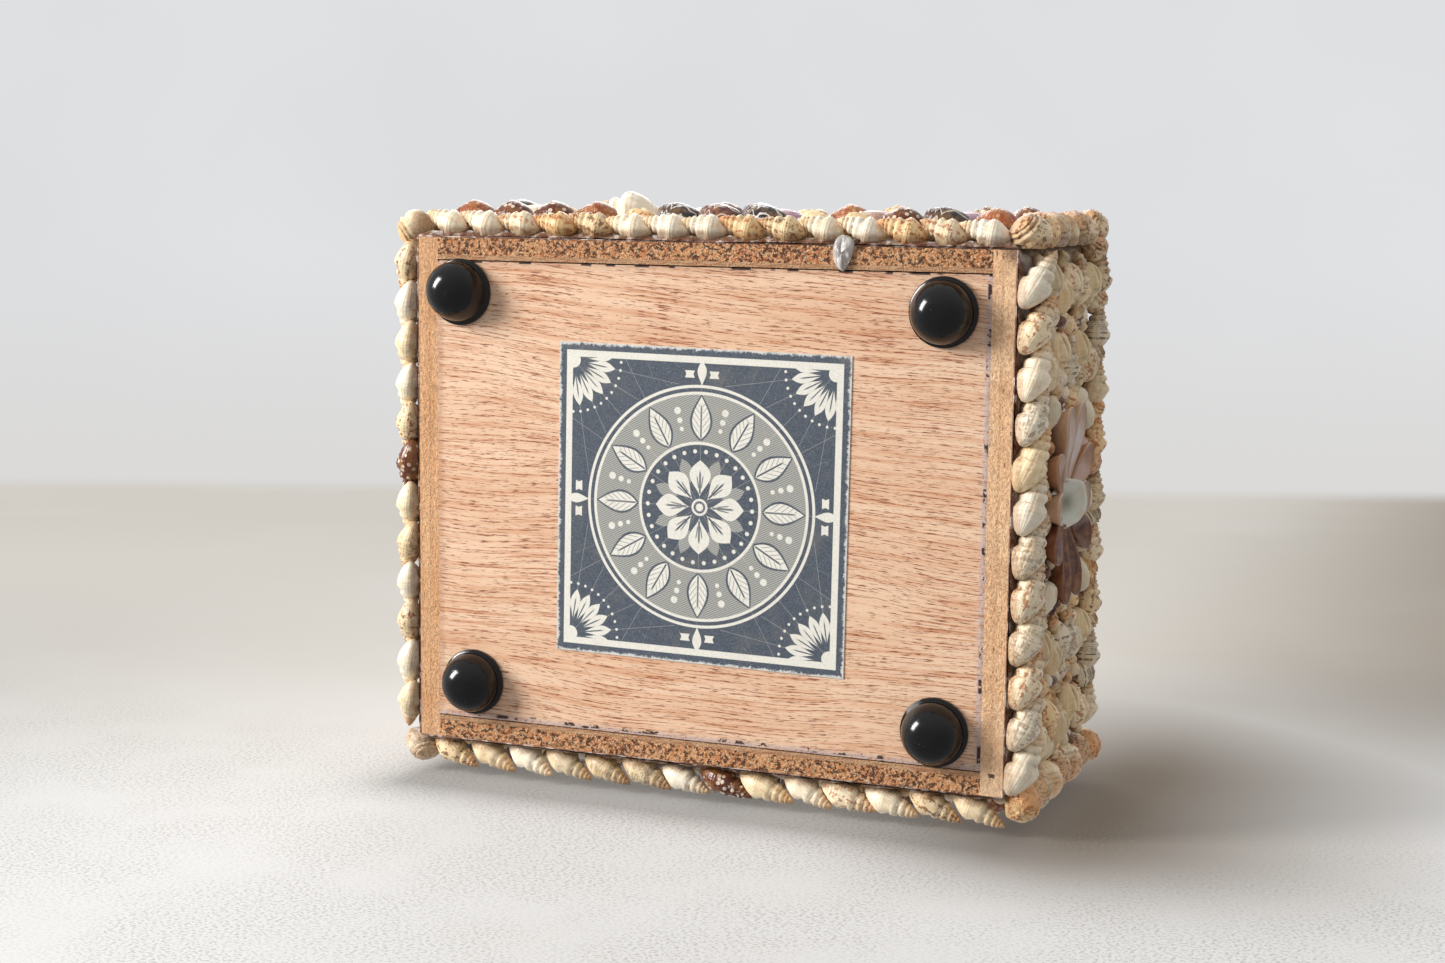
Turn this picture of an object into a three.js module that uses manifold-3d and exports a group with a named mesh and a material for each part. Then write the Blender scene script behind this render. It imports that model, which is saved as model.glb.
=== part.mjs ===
// Shell box: a small wooden box on four dome feet, covered in glued sea shells, with a lid that lifts off.
// Millimetres, +Z up. The origin is on the ground under the middle of the box.
import * as THREE from "three";
import { mergeVertices } from "three/addons/utils/BufferGeometryUtils.js";
import Module from "manifold-3d";

const wasm = await Module();
wasm.setup();

// Wooden box
const boxLength = 150;
const boxWidth = 124;
const wallHeight = 60;
const wallThickness = 5.3;
const panelThickness = 3.8;
const panelSeam = 0.3;
const lidThickness = 6;
const lidStep = 2;
const lidStepOverlap = 1;
const lidClearance = 0.6;

// Dome feet, each with its insets from the nearest corner of the box
const footHeight = 8.5;
const rimRadius = 8.1;
const rimThickness = 1.5;
const domeRadius = 7.3;
const footTipRadius = 1.6;
const footSides = 12;
const feet = [
  { name: "foot_front_left", x: -1, y: -1, insetX: 11.7, insetY: 13.1 },
  { name: "foot_front_right", x: 1, y: -1, insetX: 16.3, insetY: 14.2 },
  { name: "foot_back_left", x: -1, y: 1, insetX: 15, insetY: 14.7 },
  { name: "foot_back_right", x: 1, y: 1, insetX: 16.3, insetY: 13.7 },
];

// Paper label and the run of glue on the underside
const labelWidth = 73.8;
const labelDepth = 75.1;
const labelThickness = 0.25;
const labelTurn = 0.65;
const dripLength = 5.6;
const dripWidth = 4.4;
const dripDepth = 1.5;
const dripPlace = 34.6;
const dripOverhang = 0.2;
const dripCrown = 0.1;

// Glue bed under the shells, and how deep they are pressed into it
const bedThickness = 2;
const shellSink = 0.5;
const lidSeam = 1.2;

// Rope of whelks along the lower edge of each side
const ropeLength = 14.6;
const ropeGirth = 8;
const ropeHeight = 6.4;
const ropePitch = 10.1;
const ropeLean = -40;
const ropeMargin = 0.6;
const ropeTuck = 0.6;
const ropeRise = 0.14;
const rowLap = 1;
const darkLap = 1.6;
const ropeSizeScatter = 0.05;
const ropeLeanScatter = 4;

// Rope of whelks round the edge of the lid
const lidRopeLength = 12.8;
const lidRopeGirth = 7.4;
const lidRopeHeight = 6;
const lidRopePitch = 12.6;
const lidRopeLean = -10;
const lidRopeTuck = 0.4;
const lidRopeRise = 0.5;
const lidCornerSize = 8.6;
const lidBedInset = 0.3;

// Round shells up each corner
const cornerSize = 9.8;
const cornerHeight = 7;
const cornerPitch = 9.7;
const cornerReach = 1.6;
const cornerShift = 0.6;
const cornerTurn = 90;
const cornerTurnScatter = 60;

// Rows of small shells above the rope
const darkLength = 12;
const darkGirth = 8.4;
const darkHeight = 5.4;
const darkPitch = 11.6;
const slitLength = 13;
const slitGirth = 8;
const slitHeight = 5.2;
const slitGap = 0.5;
const fillLength = 11.6;
const fillGirth = 8.6;
const fillHeight = 5;

// Large shells of the front and back
const valveLength = 18.6;
const valveGirth = 16.5;
const valveHeight = 5.6;
const valvePitch = 22;
const pieceGap = 0.5;
const bigWhelkLength = 22.6;
const bigWhelkGirth = 13.5;
const bigWhelkHeight = 8.4;
const bigWhelkTurn = 8;
const bigWhelkRank = 1;

// Flower on the right side
const flowerPlace = -2;
const flowerHeight = 33;
const petalCount = 10;
const petalInner = 5.2;
const petalLong = 25;
const petalShort = 16.5;
const petalGirth = 6.8;
const petalRise = 5;
const petalClearance = 0.8;
const creamLength = 10;
const creamGirth = 8.6;
const creamHeight = 4.4;
const creamAcross = 0.87;
const creamUp = 0.77;
const creamTurn = 30;
const chipLength = 9.6;
const chipGirth = 9;
const chipRise = 4.4;
const chipTurn = 30;

// Flower and rows on the lid
const lidPetalCount = 12;
const lidPetalInner = 9.4;
const lidPetalLength = 24;
const lidPetalGirth = 10.4;
const lidPetalRise = 5;
const bossSize = 17;
const bossHeight = 7.6;
const lidRowInset = 6.4;
const lidRowPitch = 12.4;
const lidRowSwell = 1;
const lidInnerInset = 20;
const lidFanLength = 17;
const lidFanGirth = 15;
const lidFanHeight = 5;
const lidFanSpacing = 1;
const lidCornerTurn = 60;

// Levels and half sizes that follow
const halfLength = boxLength / 2;
const halfWidth = boxWidth / 2;
const wallTop = footHeight + wallHeight;
const lidTop = wallTop + lidThickness;

const radians = THREE.MathUtils.degToRad;

// Materials, one for each stuff
const materials = {
  fibreboard: new THREE.MeshStandardMaterial({ color: 0xc08a5a, roughness: 0.85 }),
  plywood: new THREE.MeshStandardMaterial({ color: 0xdcae88, roughness: 0.6 }),
  paper: new THREE.MeshStandardMaterial({ color: 0x6f7780, roughness: 0.7 }),
  footGloss: new THREE.MeshStandardMaterial({ color: 0x08080a, roughness: 0.12 }),
  clearGlue: new THREE.MeshStandardMaterial({ color: 0xcfc6bb, roughness: 0.2 }),
  shell: new THREE.MeshStandardMaterial({ color: 0xe6dac4, roughness: 0.4 }),
  petal: new THREE.MeshStandardMaterial({ color: 0x9a6650, roughness: 0.35 }),
  clam: new THREE.MeshStandardMaterial({ color: 0xb58aa4, roughness: 0.35 }),
  nacre: new THREE.MeshStandardMaterial({ color: 0xaab09a, roughness: 0.2 }),
};

const shellBox = new THREE.Group();

function addPiece(name, geometry, material, parent = shellBox) {
  const mesh = new THREE.Mesh(geometry, material);
  mesh.name = name;
  parent.add(mesh);
  return mesh;
}

// A closed geometry as a solid that can be joined and cut
function toSolid(geometry) {
  const bare = geometry.index ? geometry.toNonIndexed() : geometry.clone();
  bare.deleteAttribute("normal");
  bare.deleteAttribute("uv");
  const merged = mergeVertices(bare, 1e-4);
  const corners = merged.index.array;
  const faces = [];
  for (let i = 0; i < corners.length; i += 3) {
    const [p, q, r] = [corners[i], corners[i + 1], corners[i + 2]];
    if (p !== q && q !== r && r !== p) faces.push(p, q, r);
  }
  return new wasm.Manifold(new wasm.Mesh({
    numProp: 3,
    vertProperties: new Float32Array(merged.attributes.position.array),
    triVerts: new Uint32Array(faces),
  }));
}

function toGeometry(solid) {
  const mesh = solid.getMesh();
  const geometry = new THREE.BufferGeometry();
  const places = new Float32Array(mesh.numVert * 3);
  for (let i = 0; i < mesh.numVert; i++) {
    for (let k = 0; k < 3; k++) places[3 * i + k] = mesh.vertProperties[i * mesh.numProp + k];
  }
  geometry.setAttribute("position", new THREE.BufferAttribute(places, 3));
  geometry.setIndex(new THREE.BufferAttribute(new Uint32Array(mesh.triVerts), 1));
  return geometry;
}

function joined(solids) {
  return solids.reduce((sum, solid) => sum.add(solid));
}

// A box between two corners
function slab(low, high) {
  const size = high.map((value, k) => value - low[k]);
  const geometry = new THREE.BoxGeometry(...size);
  return geometry.translate(...low.map((value, k) => value + size[k] / 2));
}

// Repeatable scatter from -1 to 1 for the nth shell
function scatter(n, salt) {
  const value = Math.sin(n * 12.9898 + salt * 78.233) * 43758.5453;
  return 2 * (value - Math.floor(value)) - 1;
}

// Half sections of the shell forms: [share of the reach, share of the height]
const roundSection = [[0, 0], [1, 0], [0.74, 0.66], [0, 1]];
const snailSection = [[0, 0], [0.9, 0], [1, 0.4], [0, 1]];
const fanSection = [[0, 0], [1, 0], [0, 1]];

// Shares of a shell's own girth and length: width of spire and body, forward shift of the shoulder, crown set back
const whelkSpireWidth = 0.68;
const whelkBodyWidth = 1.1;
const whelkShoulder = 0.07;
const snailCrown = 0.08;
const fanCrown = 0.18;
const petalCrown = 0.1;
const bossCrown = 0.05;

function latheOf(section, sides) {
  const geometry = new THREE.LatheGeometry(section.map(([r, h]) => new THREE.Vector2(r, h)), sides);
  return geometry.rotateX(Math.PI / 2).rotateZ(Math.PI / 2);
}

// Each vertex of a geometry moved by a rule
function reshaped(geometry, rule) {
  const place = geometry.attributes.position;
  for (let i = 0; i < place.count; i++) place.setXYZ(i, ...rule(place.getX(i), place.getY(i), place.getZ(i)));
  return geometry;
}

// A whelk on its side, pressed in to its middle: spire to -X, widest at the shoulder, narrow base to +X
function whelkShell(section, { length, girth, height }) {
  return reshaped(latheOf(section, 6), (x, y, z) => {
    const width = x < 0 ? whelkSpireWidth : whelkBodyWidth;
    return [length * (x / 2 + whelkShoulder * (1 - x * x)), (y * width * girth) / 2, z * height];
  });
}

// A round, oval or fan shell that lies mouth down, its crown set back towards the hinge or spire
function domedShell(section, sides, { length, girth, height }, crownShift) {
  return reshaped(latheOf(section, sides), (x, y, z) => (
    [(x * length) / 2 - crownShift * length * z, (y * girth) / 2, z * height]
  ));
}

const forms = {
  whelk: (s) => whelkShell(roundSection, s),
  slit: (s) => whelkShell(fanSection, s),
  snail: (s) => domedShell(snailSection, 5, s, snailCrown),
  fan: (s) => domedShell(fanSection, 7, s, fanCrown),
  petal: (s) => domedShell(fanSection, 7, s, petalCrown),
  boss: (s) => domedShell(roundSection, 8, s, bossCrown),
};

// A face of the box: along runs left to right, up the face is +Y of its own frame, and out is +Z
function sideFace(name, salt, length, offset, turn, whelk = false) {
  const angle = radians(turn);
  const along = new THREE.Vector3(Math.round(Math.cos(angle)), Math.round(Math.sin(angle)), 0);
  const out = new THREE.Vector3(along.y, -along.x, 0);
  const matrix = new THREE.Matrix4().makeBasis(along, new THREE.Vector3(0, 0, 1), out);
  matrix.setPosition(out.clone().multiplyScalar(offset).setZ(footHeight));
  return { name, salt, half: length / 2, matrix, whelk };
}

const front = sideFace("front", 1, boxLength, halfWidth, 0, true);
const right = sideFace("right", 2, boxWidth, halfLength, 90);
const back = sideFace("back", 3, boxLength, halfWidth, 180, true);
const left = sideFace("left", 4, boxWidth, halfLength, 270);
const sides = [front, right, back, left];
const lidFace = { name: "lid_top", matrix: new THREE.Matrix4().makeTranslation(0, 0, lidTop) };

// A shell of a face, turned so that its base points at angle s.turn, and lifted by s.level
function placedShell(face, s) {
  const geometry = forms[s.form](s);
  geometry.rotateZ(radians(s.turn));
  geometry.translate(s.a, s.b, s.level ?? bedThickness - shellSink);
  geometry.applyMatrix4(face.matrix);
  return geometry;
}

// Rope of whelks along the lower edge, apex up and back, base down and forward
function edgeRope(face) {
  const reach = ropeLength / 2;
  const first = -face.half + ropeMargin + reach * Math.cos(radians(ropeLean));
  const last = face.half - cornerSize / 2 - reach * Math.cos(radians(ropeLean)) * ropeTuck;
  const count = Math.round((last - first) / ropePitch) + 1;
  const level = (reach * Math.sin(radians(-ropeLean))) + ropeGirth * ropeRise;
  const shells = [];
  for (let i = 0; i < count; i++) {
    const size = 1 + ropeSizeScatter * scatter(i, face.salt);
    shells.push({
      form: "whelk", a: first + ((last - first) * i) / (count - 1), b: level,
      turn: ropeLean + ropeLeanScatter * scatter(i, 2), length: ropeLength * size, girth: ropeGirth * size,
      height: ropeHeight,
    });
  }
  return shells;
}

// Round shells one above the other at the right-hand corner of a face
function cornerColumn(face) {
  const count = Math.floor((wallHeight - lidSeam - cornerSize) / cornerPitch) + 1;
  const shells = [];
  for (let i = 0; i < count; i++) {
    const size = cornerSize * (1 - 0.04 * Math.abs(scatter(i, face.salt + 5)));
    shells.push({
      form: "snail", a: face.half + cornerReach - cornerShift * (i % 2), b: cornerSize / 2 + i * cornerPitch,
      turn: cornerTurn + cornerTurnScatter * scatter(i, 7), length: size, girth: size,
      height: cornerHeight * (1 - 0.1 * Math.abs(scatter(i, 3))),
    });
  }
  return shells;
}

// A straight row of one form
function row(from, to, pitch, make) {
  const count = Math.max(2, Math.round((to - from) / pitch) + 1);
  return Array.from({ length: count }, (_, i) => make(from + ((to - from) * i) / (count - 1), i, count));
}

const ropeTop = ropeLength * Math.sin(radians(-ropeLean)) + ropeGirth * 2 * ropeRise + rowLap;
const fieldTop = wallHeight - lidSeam;
const darkLevel = ropeTop + darkGirth / 2 - darkLap;
const valveLevel = darkLevel + (darkGirth + valveLength) / 2 + pieceGap;
const upperLevel = valveLevel + (valveLength + darkGirth) / 2 + pieceGap;

// Dark shells in a row at a level above the rope
function darkRow(face, level) {
  return row(-face.half + darkLength / 2 + ropeMargin, face.half - cornerSize, darkPitch, (a, i) => ({
    form: i % 3 === 1 ? "slit" : "snail", a, b: level + 0.7 * scatter(i, 11),
    turn: 14 * scatter(i, 12), length: darkLength, girth: darkGirth, height: darkHeight,
  }));
}

// Large valves in a row across the middle of a side, with one big whelk among them on a long side
function valveRow(face) {
  const reach = face.half - cornerSize - valveLength / 2;
  return row(-reach - 1, reach, valvePitch, (a, i) => {
    const place = { a, b: valveLevel, level: bedThickness };
    if (face.whelk && i === bigWhelkRank) {
      return {
        ...place, form: "whelk", turn: bigWhelkTurn, length: bigWhelkLength, girth: bigWhelkGirth,
        height: bigWhelkHeight,
      };
    }
    return {
      ...place, form: "fan", turn: 90 + 50 * scatter(i, 21), length: valveLength, girth: valveGirth,
      height: valveHeight,
    };
  });
}

// Upright whelks, mouth out, in a row under the lid
function topRow(face) {
  const level = fieldTop - fillLength / 2;
  return row(-face.half + fillGirth / 2 + ropeMargin, face.half - cornerSize, fillGirth + slitGap, (a, i) => ({
    form: "slit", a, b: level - 0.5 * Math.abs(scatter(i, 31)), turn: i % 2 ? 96 : -84,
    length: fillLength, girth: fillGirth, height: fillHeight,
  }));
}

// A large shell pressed into the bed, its crown as high as before
function pressedIn(s) {
  return { ...s, level: s.level - shellSink, height: s.height + shellSink };
}

// A side in rows; its valves may be pieces of their own
function rowedShells(face, valves = valveRow(face)) {
  const pressed = valves.map(pressedIn);
  return [
    ...edgeRope(face), ...cornerColumn(face), ...darkRow(face, darkLevel), ...pressed,
    ...darkRow(face, upperLevel), ...topRow(face),
  ];
}

// Block of whelks, mouth out, that lie along the face between two places
function slitBlock(from, to) {
  const shells = [];
  const low = ropeTop + slitGirth / 2 - rowLap;
  const high = fieldTop - slitGirth / 2;
  const columns = Math.max(1, Math.floor((to - from) / slitLength));
  const rows = Math.floor((high - low) / (slitGirth + slitGap)) + 1;
  for (let c = 0; c < columns; c++) {
    for (let r = 0; r < rows; r++) {
      const n = shells.length + 1;
      shells.push({
        form: "slit", a: from + ((to - from) * (c + 0.5)) / columns + scatter(n, 41),
        b: low + ((high - low) * r) / (rows - 1), turn: 12 * scatter(n, 42) + (n % 2 ? 180 : 0),
        length: slitLength, girth: slitGirth, height: slitHeight,
      });
    }
  }
  return shells;
}

// Petals round a centre, long along the face and short up it
function flowerPetals() {
  const shells = [];
  for (let i = 0; i < petalCount; i++) {
    const angle = (2 * Math.PI * (i + 0.5)) / petalCount;
    const reach = Math.hypot(petalLong * Math.cos(angle), petalShort * Math.sin(angle));
    const middle = (petalInner + reach) / 2;
    shells.push({
      form: "petal", a: flowerPlace + middle * Math.cos(angle), b: flowerHeight + middle * Math.sin(angle),
      turn: (angle * 180) / Math.PI, length: reach - petalInner, girth: petalGirth,
      height: petalRise, level: bedThickness,
    });
  }
  return shells;
}

// Small cream valves in the four corners round the flower and in a row above it
function flowerSurround() {
  const size = { form: "fan", length: creamLength, girth: creamGirth, height: creamHeight };
  const corners = [[-1, -1], [1, -1], [1, 1], [-1, 1]].map(([sideways, upwards]) => ({
    ...size, a: flowerPlace + sideways * petalLong * creamAcross,
    b: flowerHeight + upwards * petalShort * creamUp, turn: creamTurn * sideways * upwards,
  }));
  const reach = petalLong - creamLength / 2;
  const above = row(-reach, reach, creamLength, (a, i) => ({
    ...size, a: flowerPlace + a, b: fieldTop - creamGirth / 2, turn: 180 + 20 * scatter(i, 81),
  }));
  return [...corners, ...above];
}

function flowerSideShells(face) {
  const clear = petalLong + petalClearance;
  return [
    ...edgeRope(face), ...cornerColumn(face), ...flowerSurround(),
    ...slitBlock(-face.half + ropeMargin + petalClearance, flowerPlace - clear),
    ...slitBlock(flowerPlace + clear, face.half + cornerReach - cornerSize / 2),
  ];
}

// Border of round shells and inner ring of fans on the lid
function lidShells() {
  const shells = [];
  const border = (inset, pitch, make) => {
    const x = halfLength - inset;
    const y = halfWidth - inset;
    const runs = [[-x, -y, 1, 0, 2 * x], [x, -y, 0, 1, 2 * y], [x, y, -1, 0, 2 * x], [-x, y, 0, -1, 2 * y]];
    runs.forEach(([a, b, da, db, length], side) => {
      const count = Math.round(length / pitch);
      for (let i = 0; i < count; i++) {
        shells.push(make(a + (da * length * i) / count, b + (db * length * i) / count, 90 * side, i));
      }
    });
  };
  border(lidRowInset, lidRowPitch, (a, b, turn, i) => ({
    form: i % 2 ? "snail" : "slit", a, b, turn: turn + 90 + 10 * scatter(i, 51), length: fillLength,
    girth: fillGirth + lidRowSwell, height: fillHeight,
  }));
  border(lidInnerInset, lidFanGirth + lidFanSpacing, (a, b, turn, i) => ({
    form: "fan", a, b, turn: turn + 90 + 8 * scatter(i, 61), length: lidFanLength, girth: lidFanGirth,
    height: lidFanHeight,
  }));
  return shells;
}

// Short rows between the flower and the fans at the two ends of the lid
function lidEndRows() {
  const place = halfLength - lidInnerInset - lidFanLength / 2 - fillGirth / 2 - slitGap;
  const reach = halfWidth - lidInnerInset - lidFanLength / 2 - fillLength / 2;
  return [-1, 1].flatMap((side) => row(-reach, reach, fillLength, (b, i) => ({
    form: "slit", a: side * place, b, turn: 90 * side + 12 * scatter(i, 66 + side), length: fillLength,
    girth: fillGirth, height: fillHeight,
  })));
}

function lidPetals() {
  const shells = [];
  for (let i = 0; i < lidPetalCount; i++) {
    const angle = (2 * Math.PI * i) / lidPetalCount;
    const middle = lidPetalInner + lidPetalLength / 2;
    shells.push({
      form: "petal", a: middle * Math.cos(angle), b: middle * Math.sin(angle), turn: (angle * 180) / Math.PI,
      length: lidPetalLength, girth: lidPetalGirth, height: lidPetalRise, level: bedThickness,
    });
  }
  return shells;
}

// Shells joined to the glue bed they are pressed into
function shellwork(face, bed, shells) {
  const solids = shells.map((s) => toSolid(placedShell(face, s)));
  return toGeometry(joined([toSolid(bed.clone().applyMatrix4(face.matrix)), ...solids]));
}

function buildCarcase() {
  const group = new THREE.Group();
  const walls = wallTop;
  const inside = halfWidth - wallThickness;
  for (const [name, x] of [["wall_left", -halfLength], ["wall_right", halfLength - wallThickness]]) {
    const board = slab([x, -halfWidth, footHeight], [x + wallThickness, halfWidth, walls]);
    addPiece(name, board, materials.fibreboard, group);
  }
  const end = halfLength - wallThickness;
  for (const [name, y] of [["wall_front", -halfWidth], ["wall_back", inside]]) {
    const board = slab([-end, y, footHeight], [end, y + wallThickness, walls]);
    addPiece(name, board, materials.fibreboard, group);
  }
  const panelReach = inside - panelSeam;
  const panel = slab([-end, -panelReach, footHeight], [end, panelReach, footHeight + panelThickness]);
  addPiece("bottom_panel", panel, materials.plywood, group);
  return group;
}

function buildLid() {
  const board = toSolid(slab([-halfLength, -halfWidth, wallTop], [halfLength, halfWidth, lidTop]));
  const x = halfLength - wallThickness - lidClearance;
  const y = halfWidth - wallThickness - lidClearance;
  const step = toSolid(slab([-x, -y, wallTop - lidStep], [x, y, wallTop + lidStepOverlap]));
  return addPiece("lid_board", toGeometry(board.add(step)), materials.fibreboard);
}

// A foot stands tip down: small flat tip, dome, rim, and a flat back against the panel
function footGeometry() {
  const rise = footHeight - rimThickness;
  const curve = [];
  const steps = 3;
  for (let i = 0; i <= steps; i++) {
    const angle = (Math.PI / 2) * (i / steps);
    const radius = footTipRadius + (domeRadius - footTipRadius) * Math.sin(angle);
    curve.push(new THREE.Vector2(radius, rise * (1 - Math.cos(angle))));
  }
  const profile = [
    new THREE.Vector2(0, 0), ...curve, new THREE.Vector2(rimRadius, rise + rimThickness * 0.25),
    new THREE.Vector2(rimRadius, footHeight), new THREE.Vector2(0, footHeight),
  ];
  const lathe = new THREE.LatheGeometry(profile, footSides);
  return lathe.rotateX(Math.PI / 2);
}

function buildFeet() {
  for (const foot of feet) {
    const solid = toSolid(footGeometry());
    const mesh = addPiece(foot.name, toGeometry(solid), materials.footGloss);
    mesh.position.set(foot.x * (halfLength - foot.insetX), foot.y * (halfWidth - foot.insetY), 0);
  }
}

function buildUnderside() {
  const paper = new THREE.BoxGeometry(labelWidth, labelDepth, labelThickness);
  const label = addPiece("paper_label", paper, materials.paper);
  label.position.set(0, 0, footHeight - labelThickness / 2);
  label.rotation.z = radians(labelTurn);
  const size = { length: dripLength, girth: dripWidth, height: dripDepth };
  const drip = domedShell(roundSection, 8, size, dripCrown);
  const solid = toSolid(drip.rotateX(Math.PI).rotateZ(Math.PI / 2));
  const piece = addPiece("glue_drip", toGeometry(solid), materials.clearGlue);
  piece.position.set(dripPlace, -halfWidth + dripLength / 2 - dripOverhang, footHeight);
}

function buildSide(face, shells) {
  const bed = slab([-face.half, 0, 0], [face.half, fieldTop, bedThickness]);
  addPiece(`shells_${face.name}`, shellwork(face, bed, shells), materials.shell);
}

// Rope of whelks on one edge of the lid
function lidRope(face) {
  const first = -face.half + ropeMargin + lidRopeLength / 2;
  const last = face.half - cornerSize / 2 - lidRopeLength * lidRopeTuck;
  const level = wallHeight + lidThickness / 2 + lidRopeRise;
  const shells = row(first, last, lidRopePitch, (a, i) => ({
    form: "slit", a, b: level, turn: lidRopeLean + ropeLeanScatter * scatter(i, 71), length: lidRopeLength,
    girth: lidRopeGirth, height: lidRopeHeight,
  }));
  shells.push({
    form: "snail", a: face.half + cornerReach, b: level, turn: lidCornerTurn, length: lidCornerSize,
    girth: lidCornerSize, height: cornerHeight,
  });
  return shells;
}

function buildShellwork() {
  buildSide(front, rowedShells(front, []));
  buildSide(right, flowerSideShells(right));
  buildSide(back, rowedShells(back, valveRow(back).filter((s) => s.form === "fan")));
  buildSide(left, rowedShells(left));
  for (const face of sides) {
    const edge = wallHeight + lidThickness;
    const bed = slab([-face.half, wallHeight + lidBedInset, 0], [face.half, edge, bedThickness]);
    addPiece(`shells_lid_${face.name}`, shellwork(face, bed, lidRope(face)), materials.shell);
  }
  const lidBed = slab([-halfLength, -halfWidth, 0], [halfLength, halfWidth, bedThickness]);
  addPiece("shells_lid_top", shellwork(lidFace, lidBed, [...lidShells(), ...lidEndRows()]), materials.shell);
}

// Large shells that each are a piece of their own, resting on the glue bed
function buildLargeShells() {
  const single = (name, face, s, material) => {
    addPiece(name, toGeometry(toSolid(placedShell(face, s))), material);
  };
  valveRow(front).filter((s) => s.form === "fan").forEach((s, i) => {
    single(`clam_valve_front_${i + 1}`, front, s, materials.clam);
  });
  for (const face of [front, back]) {
    single(`big_whelk_${face.name}`, face, valveRow(face)[bigWhelkRank], materials.shell);
  }
  const chip = {
    form: "boss", a: flowerPlace, b: flowerHeight, turn: chipTurn, length: chipLength, girth: chipGirth,
    height: chipRise, level: bedThickness,
  };
  single("nacre_chip_right", right, chip, materials.nacre);
  flowerPetals().forEach((s, i) => single(`petal_right_${i + 1}`, right, s, materials.petal));
  lidPetals().forEach((s, i) => single(`petal_lid_${i + 1}`, lidFace, s, materials.clam));
  const boss = {
    form: "boss", a: 0, b: 0, turn: 0, length: bossSize, girth: bossSize, height: bossHeight,
    level: bedThickness,
  };
  single("flower_boss_lid", lidFace, boss, materials.nacre);
}

shellBox.add(buildCarcase());
buildLid();
buildUnderside();
buildFeet();
buildShellwork();
buildLargeShells();

export default shellBox;
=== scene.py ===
import math

import bpy
import numpy as np
from mathutils import Matrix, Vector


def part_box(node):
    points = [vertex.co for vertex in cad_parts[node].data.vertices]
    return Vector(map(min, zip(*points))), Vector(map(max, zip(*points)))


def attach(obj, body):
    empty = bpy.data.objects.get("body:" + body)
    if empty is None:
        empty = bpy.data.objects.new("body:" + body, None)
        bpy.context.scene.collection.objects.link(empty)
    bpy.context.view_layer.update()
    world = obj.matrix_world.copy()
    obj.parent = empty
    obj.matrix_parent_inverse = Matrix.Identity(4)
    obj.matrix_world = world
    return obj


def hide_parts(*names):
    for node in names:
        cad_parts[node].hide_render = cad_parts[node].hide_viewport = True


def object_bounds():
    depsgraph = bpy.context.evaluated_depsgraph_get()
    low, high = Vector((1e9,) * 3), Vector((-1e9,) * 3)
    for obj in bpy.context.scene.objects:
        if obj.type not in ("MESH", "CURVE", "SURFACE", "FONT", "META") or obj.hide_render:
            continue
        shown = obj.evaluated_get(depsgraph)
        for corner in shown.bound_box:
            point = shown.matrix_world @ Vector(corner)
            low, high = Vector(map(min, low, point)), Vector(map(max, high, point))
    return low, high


# Shell box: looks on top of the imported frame. Sizes are written in millimetres and end in metres.
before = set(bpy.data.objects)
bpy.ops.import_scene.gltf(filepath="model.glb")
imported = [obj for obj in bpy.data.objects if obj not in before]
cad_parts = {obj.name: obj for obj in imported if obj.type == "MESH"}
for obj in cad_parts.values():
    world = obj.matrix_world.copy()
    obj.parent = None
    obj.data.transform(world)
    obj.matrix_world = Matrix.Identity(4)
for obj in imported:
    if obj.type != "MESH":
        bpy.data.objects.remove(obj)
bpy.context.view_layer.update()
mm = 0.001
print("frame loaded")


# Sizes of the wooden box, read from the frame
def boxOf(node):  # low and high corner, in millimetres
    low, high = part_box(node)
    return np.array(low) / mm, np.array(high) / mm


wallLow, wallHigh = boxOf("wall_left")
carcase = {
    "halfLength": -wallLow[0],
    "halfWidth": wallHigh[1],
    "bottom": wallLow[2],
    "height": wallHigh[2] - wallLow[2],
    "top": boxOf("lid_board")[1][2],
    "thickness": wallHigh[0] - wallLow[0],
}
carcase["lidThickness"] = carcase["top"] - wallHigh[2]

# Sizes of the shells and their rows, in millimetres and degrees
bed = {"thickness": 2.0, "sink": 0.5, "lidSeam": 1.2, "lidInset": 0.3, "lump": 0.55, "step": 1.1}
rope = {"length": 14.6, "girth": 8.0, "height": 6.4, "pitch": 10.1, "lean": -40, "margin": 0.6, "tuck": 0.6,
        "rise": 0.14, "lap": 1.0}
laid = {  # how the shells of a rope lie on each side
    "front": {"lean": 3, "tilt": 18, "level": 2.8, "lift": -1.1, "long": 0.87, "broad": 0.84},
    "right": {"lean": -22, "tilt": 18, "level": 3.0, "lift": 0.0, "long": 1.17, "broad": 0.98},
    "back": {"lean": 7, "tilt": 25, "level": 3.8, "lift": 0.3, "long": 1.06, "broad": 0.9},
    "left": {"lean": -18, "tilt": 14, "level": 3.2, "lift": -0.2, "long": 1.12, "broad": 0.92},
}
lidRope = {"length": 12.8, "girth": 7.4, "height": 6.0, "pitch": 12.6, "lean": -10, "tuck": 0.4, "rise": 0.5,
           "corner": 8.6, "between": 7.4}
corner = {"size": 9.8, "height": 7.0, "pitch": 9.7, "reach": 1.6, "shift": 0.6}
dark = {"length": 12.0, "girth": 8.4, "height": 5.4, "pitch": 11.6, "proud": 1.3, "extra": 0.9, "under": 1.6}
slit = {"length": 13.0, "girth": 8.0, "height": 5.2, "gap": 0.5}
fill = {"length": 11.6, "girth": 8.6, "height": 5.0}
valve = {"length": 18.6, "girth": 16.5, "height": 5.6, "pitch": 22.0, "gap": 0.5}
bigWhelk = {"length": 22.6, "girth": 13.5, "height": 8.4, "proud": 1.2, "turn": 8, "tilt": 2, "rank": 1}
flower = {"place": -2.0, "level": 33.0, "petals": 10, "inner": 5.2, "long": 25.0, "short": 16.5, "girth": 6.8,
          "rise": 5.0, "clear": 0.8, "broad": 1.22}
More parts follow.
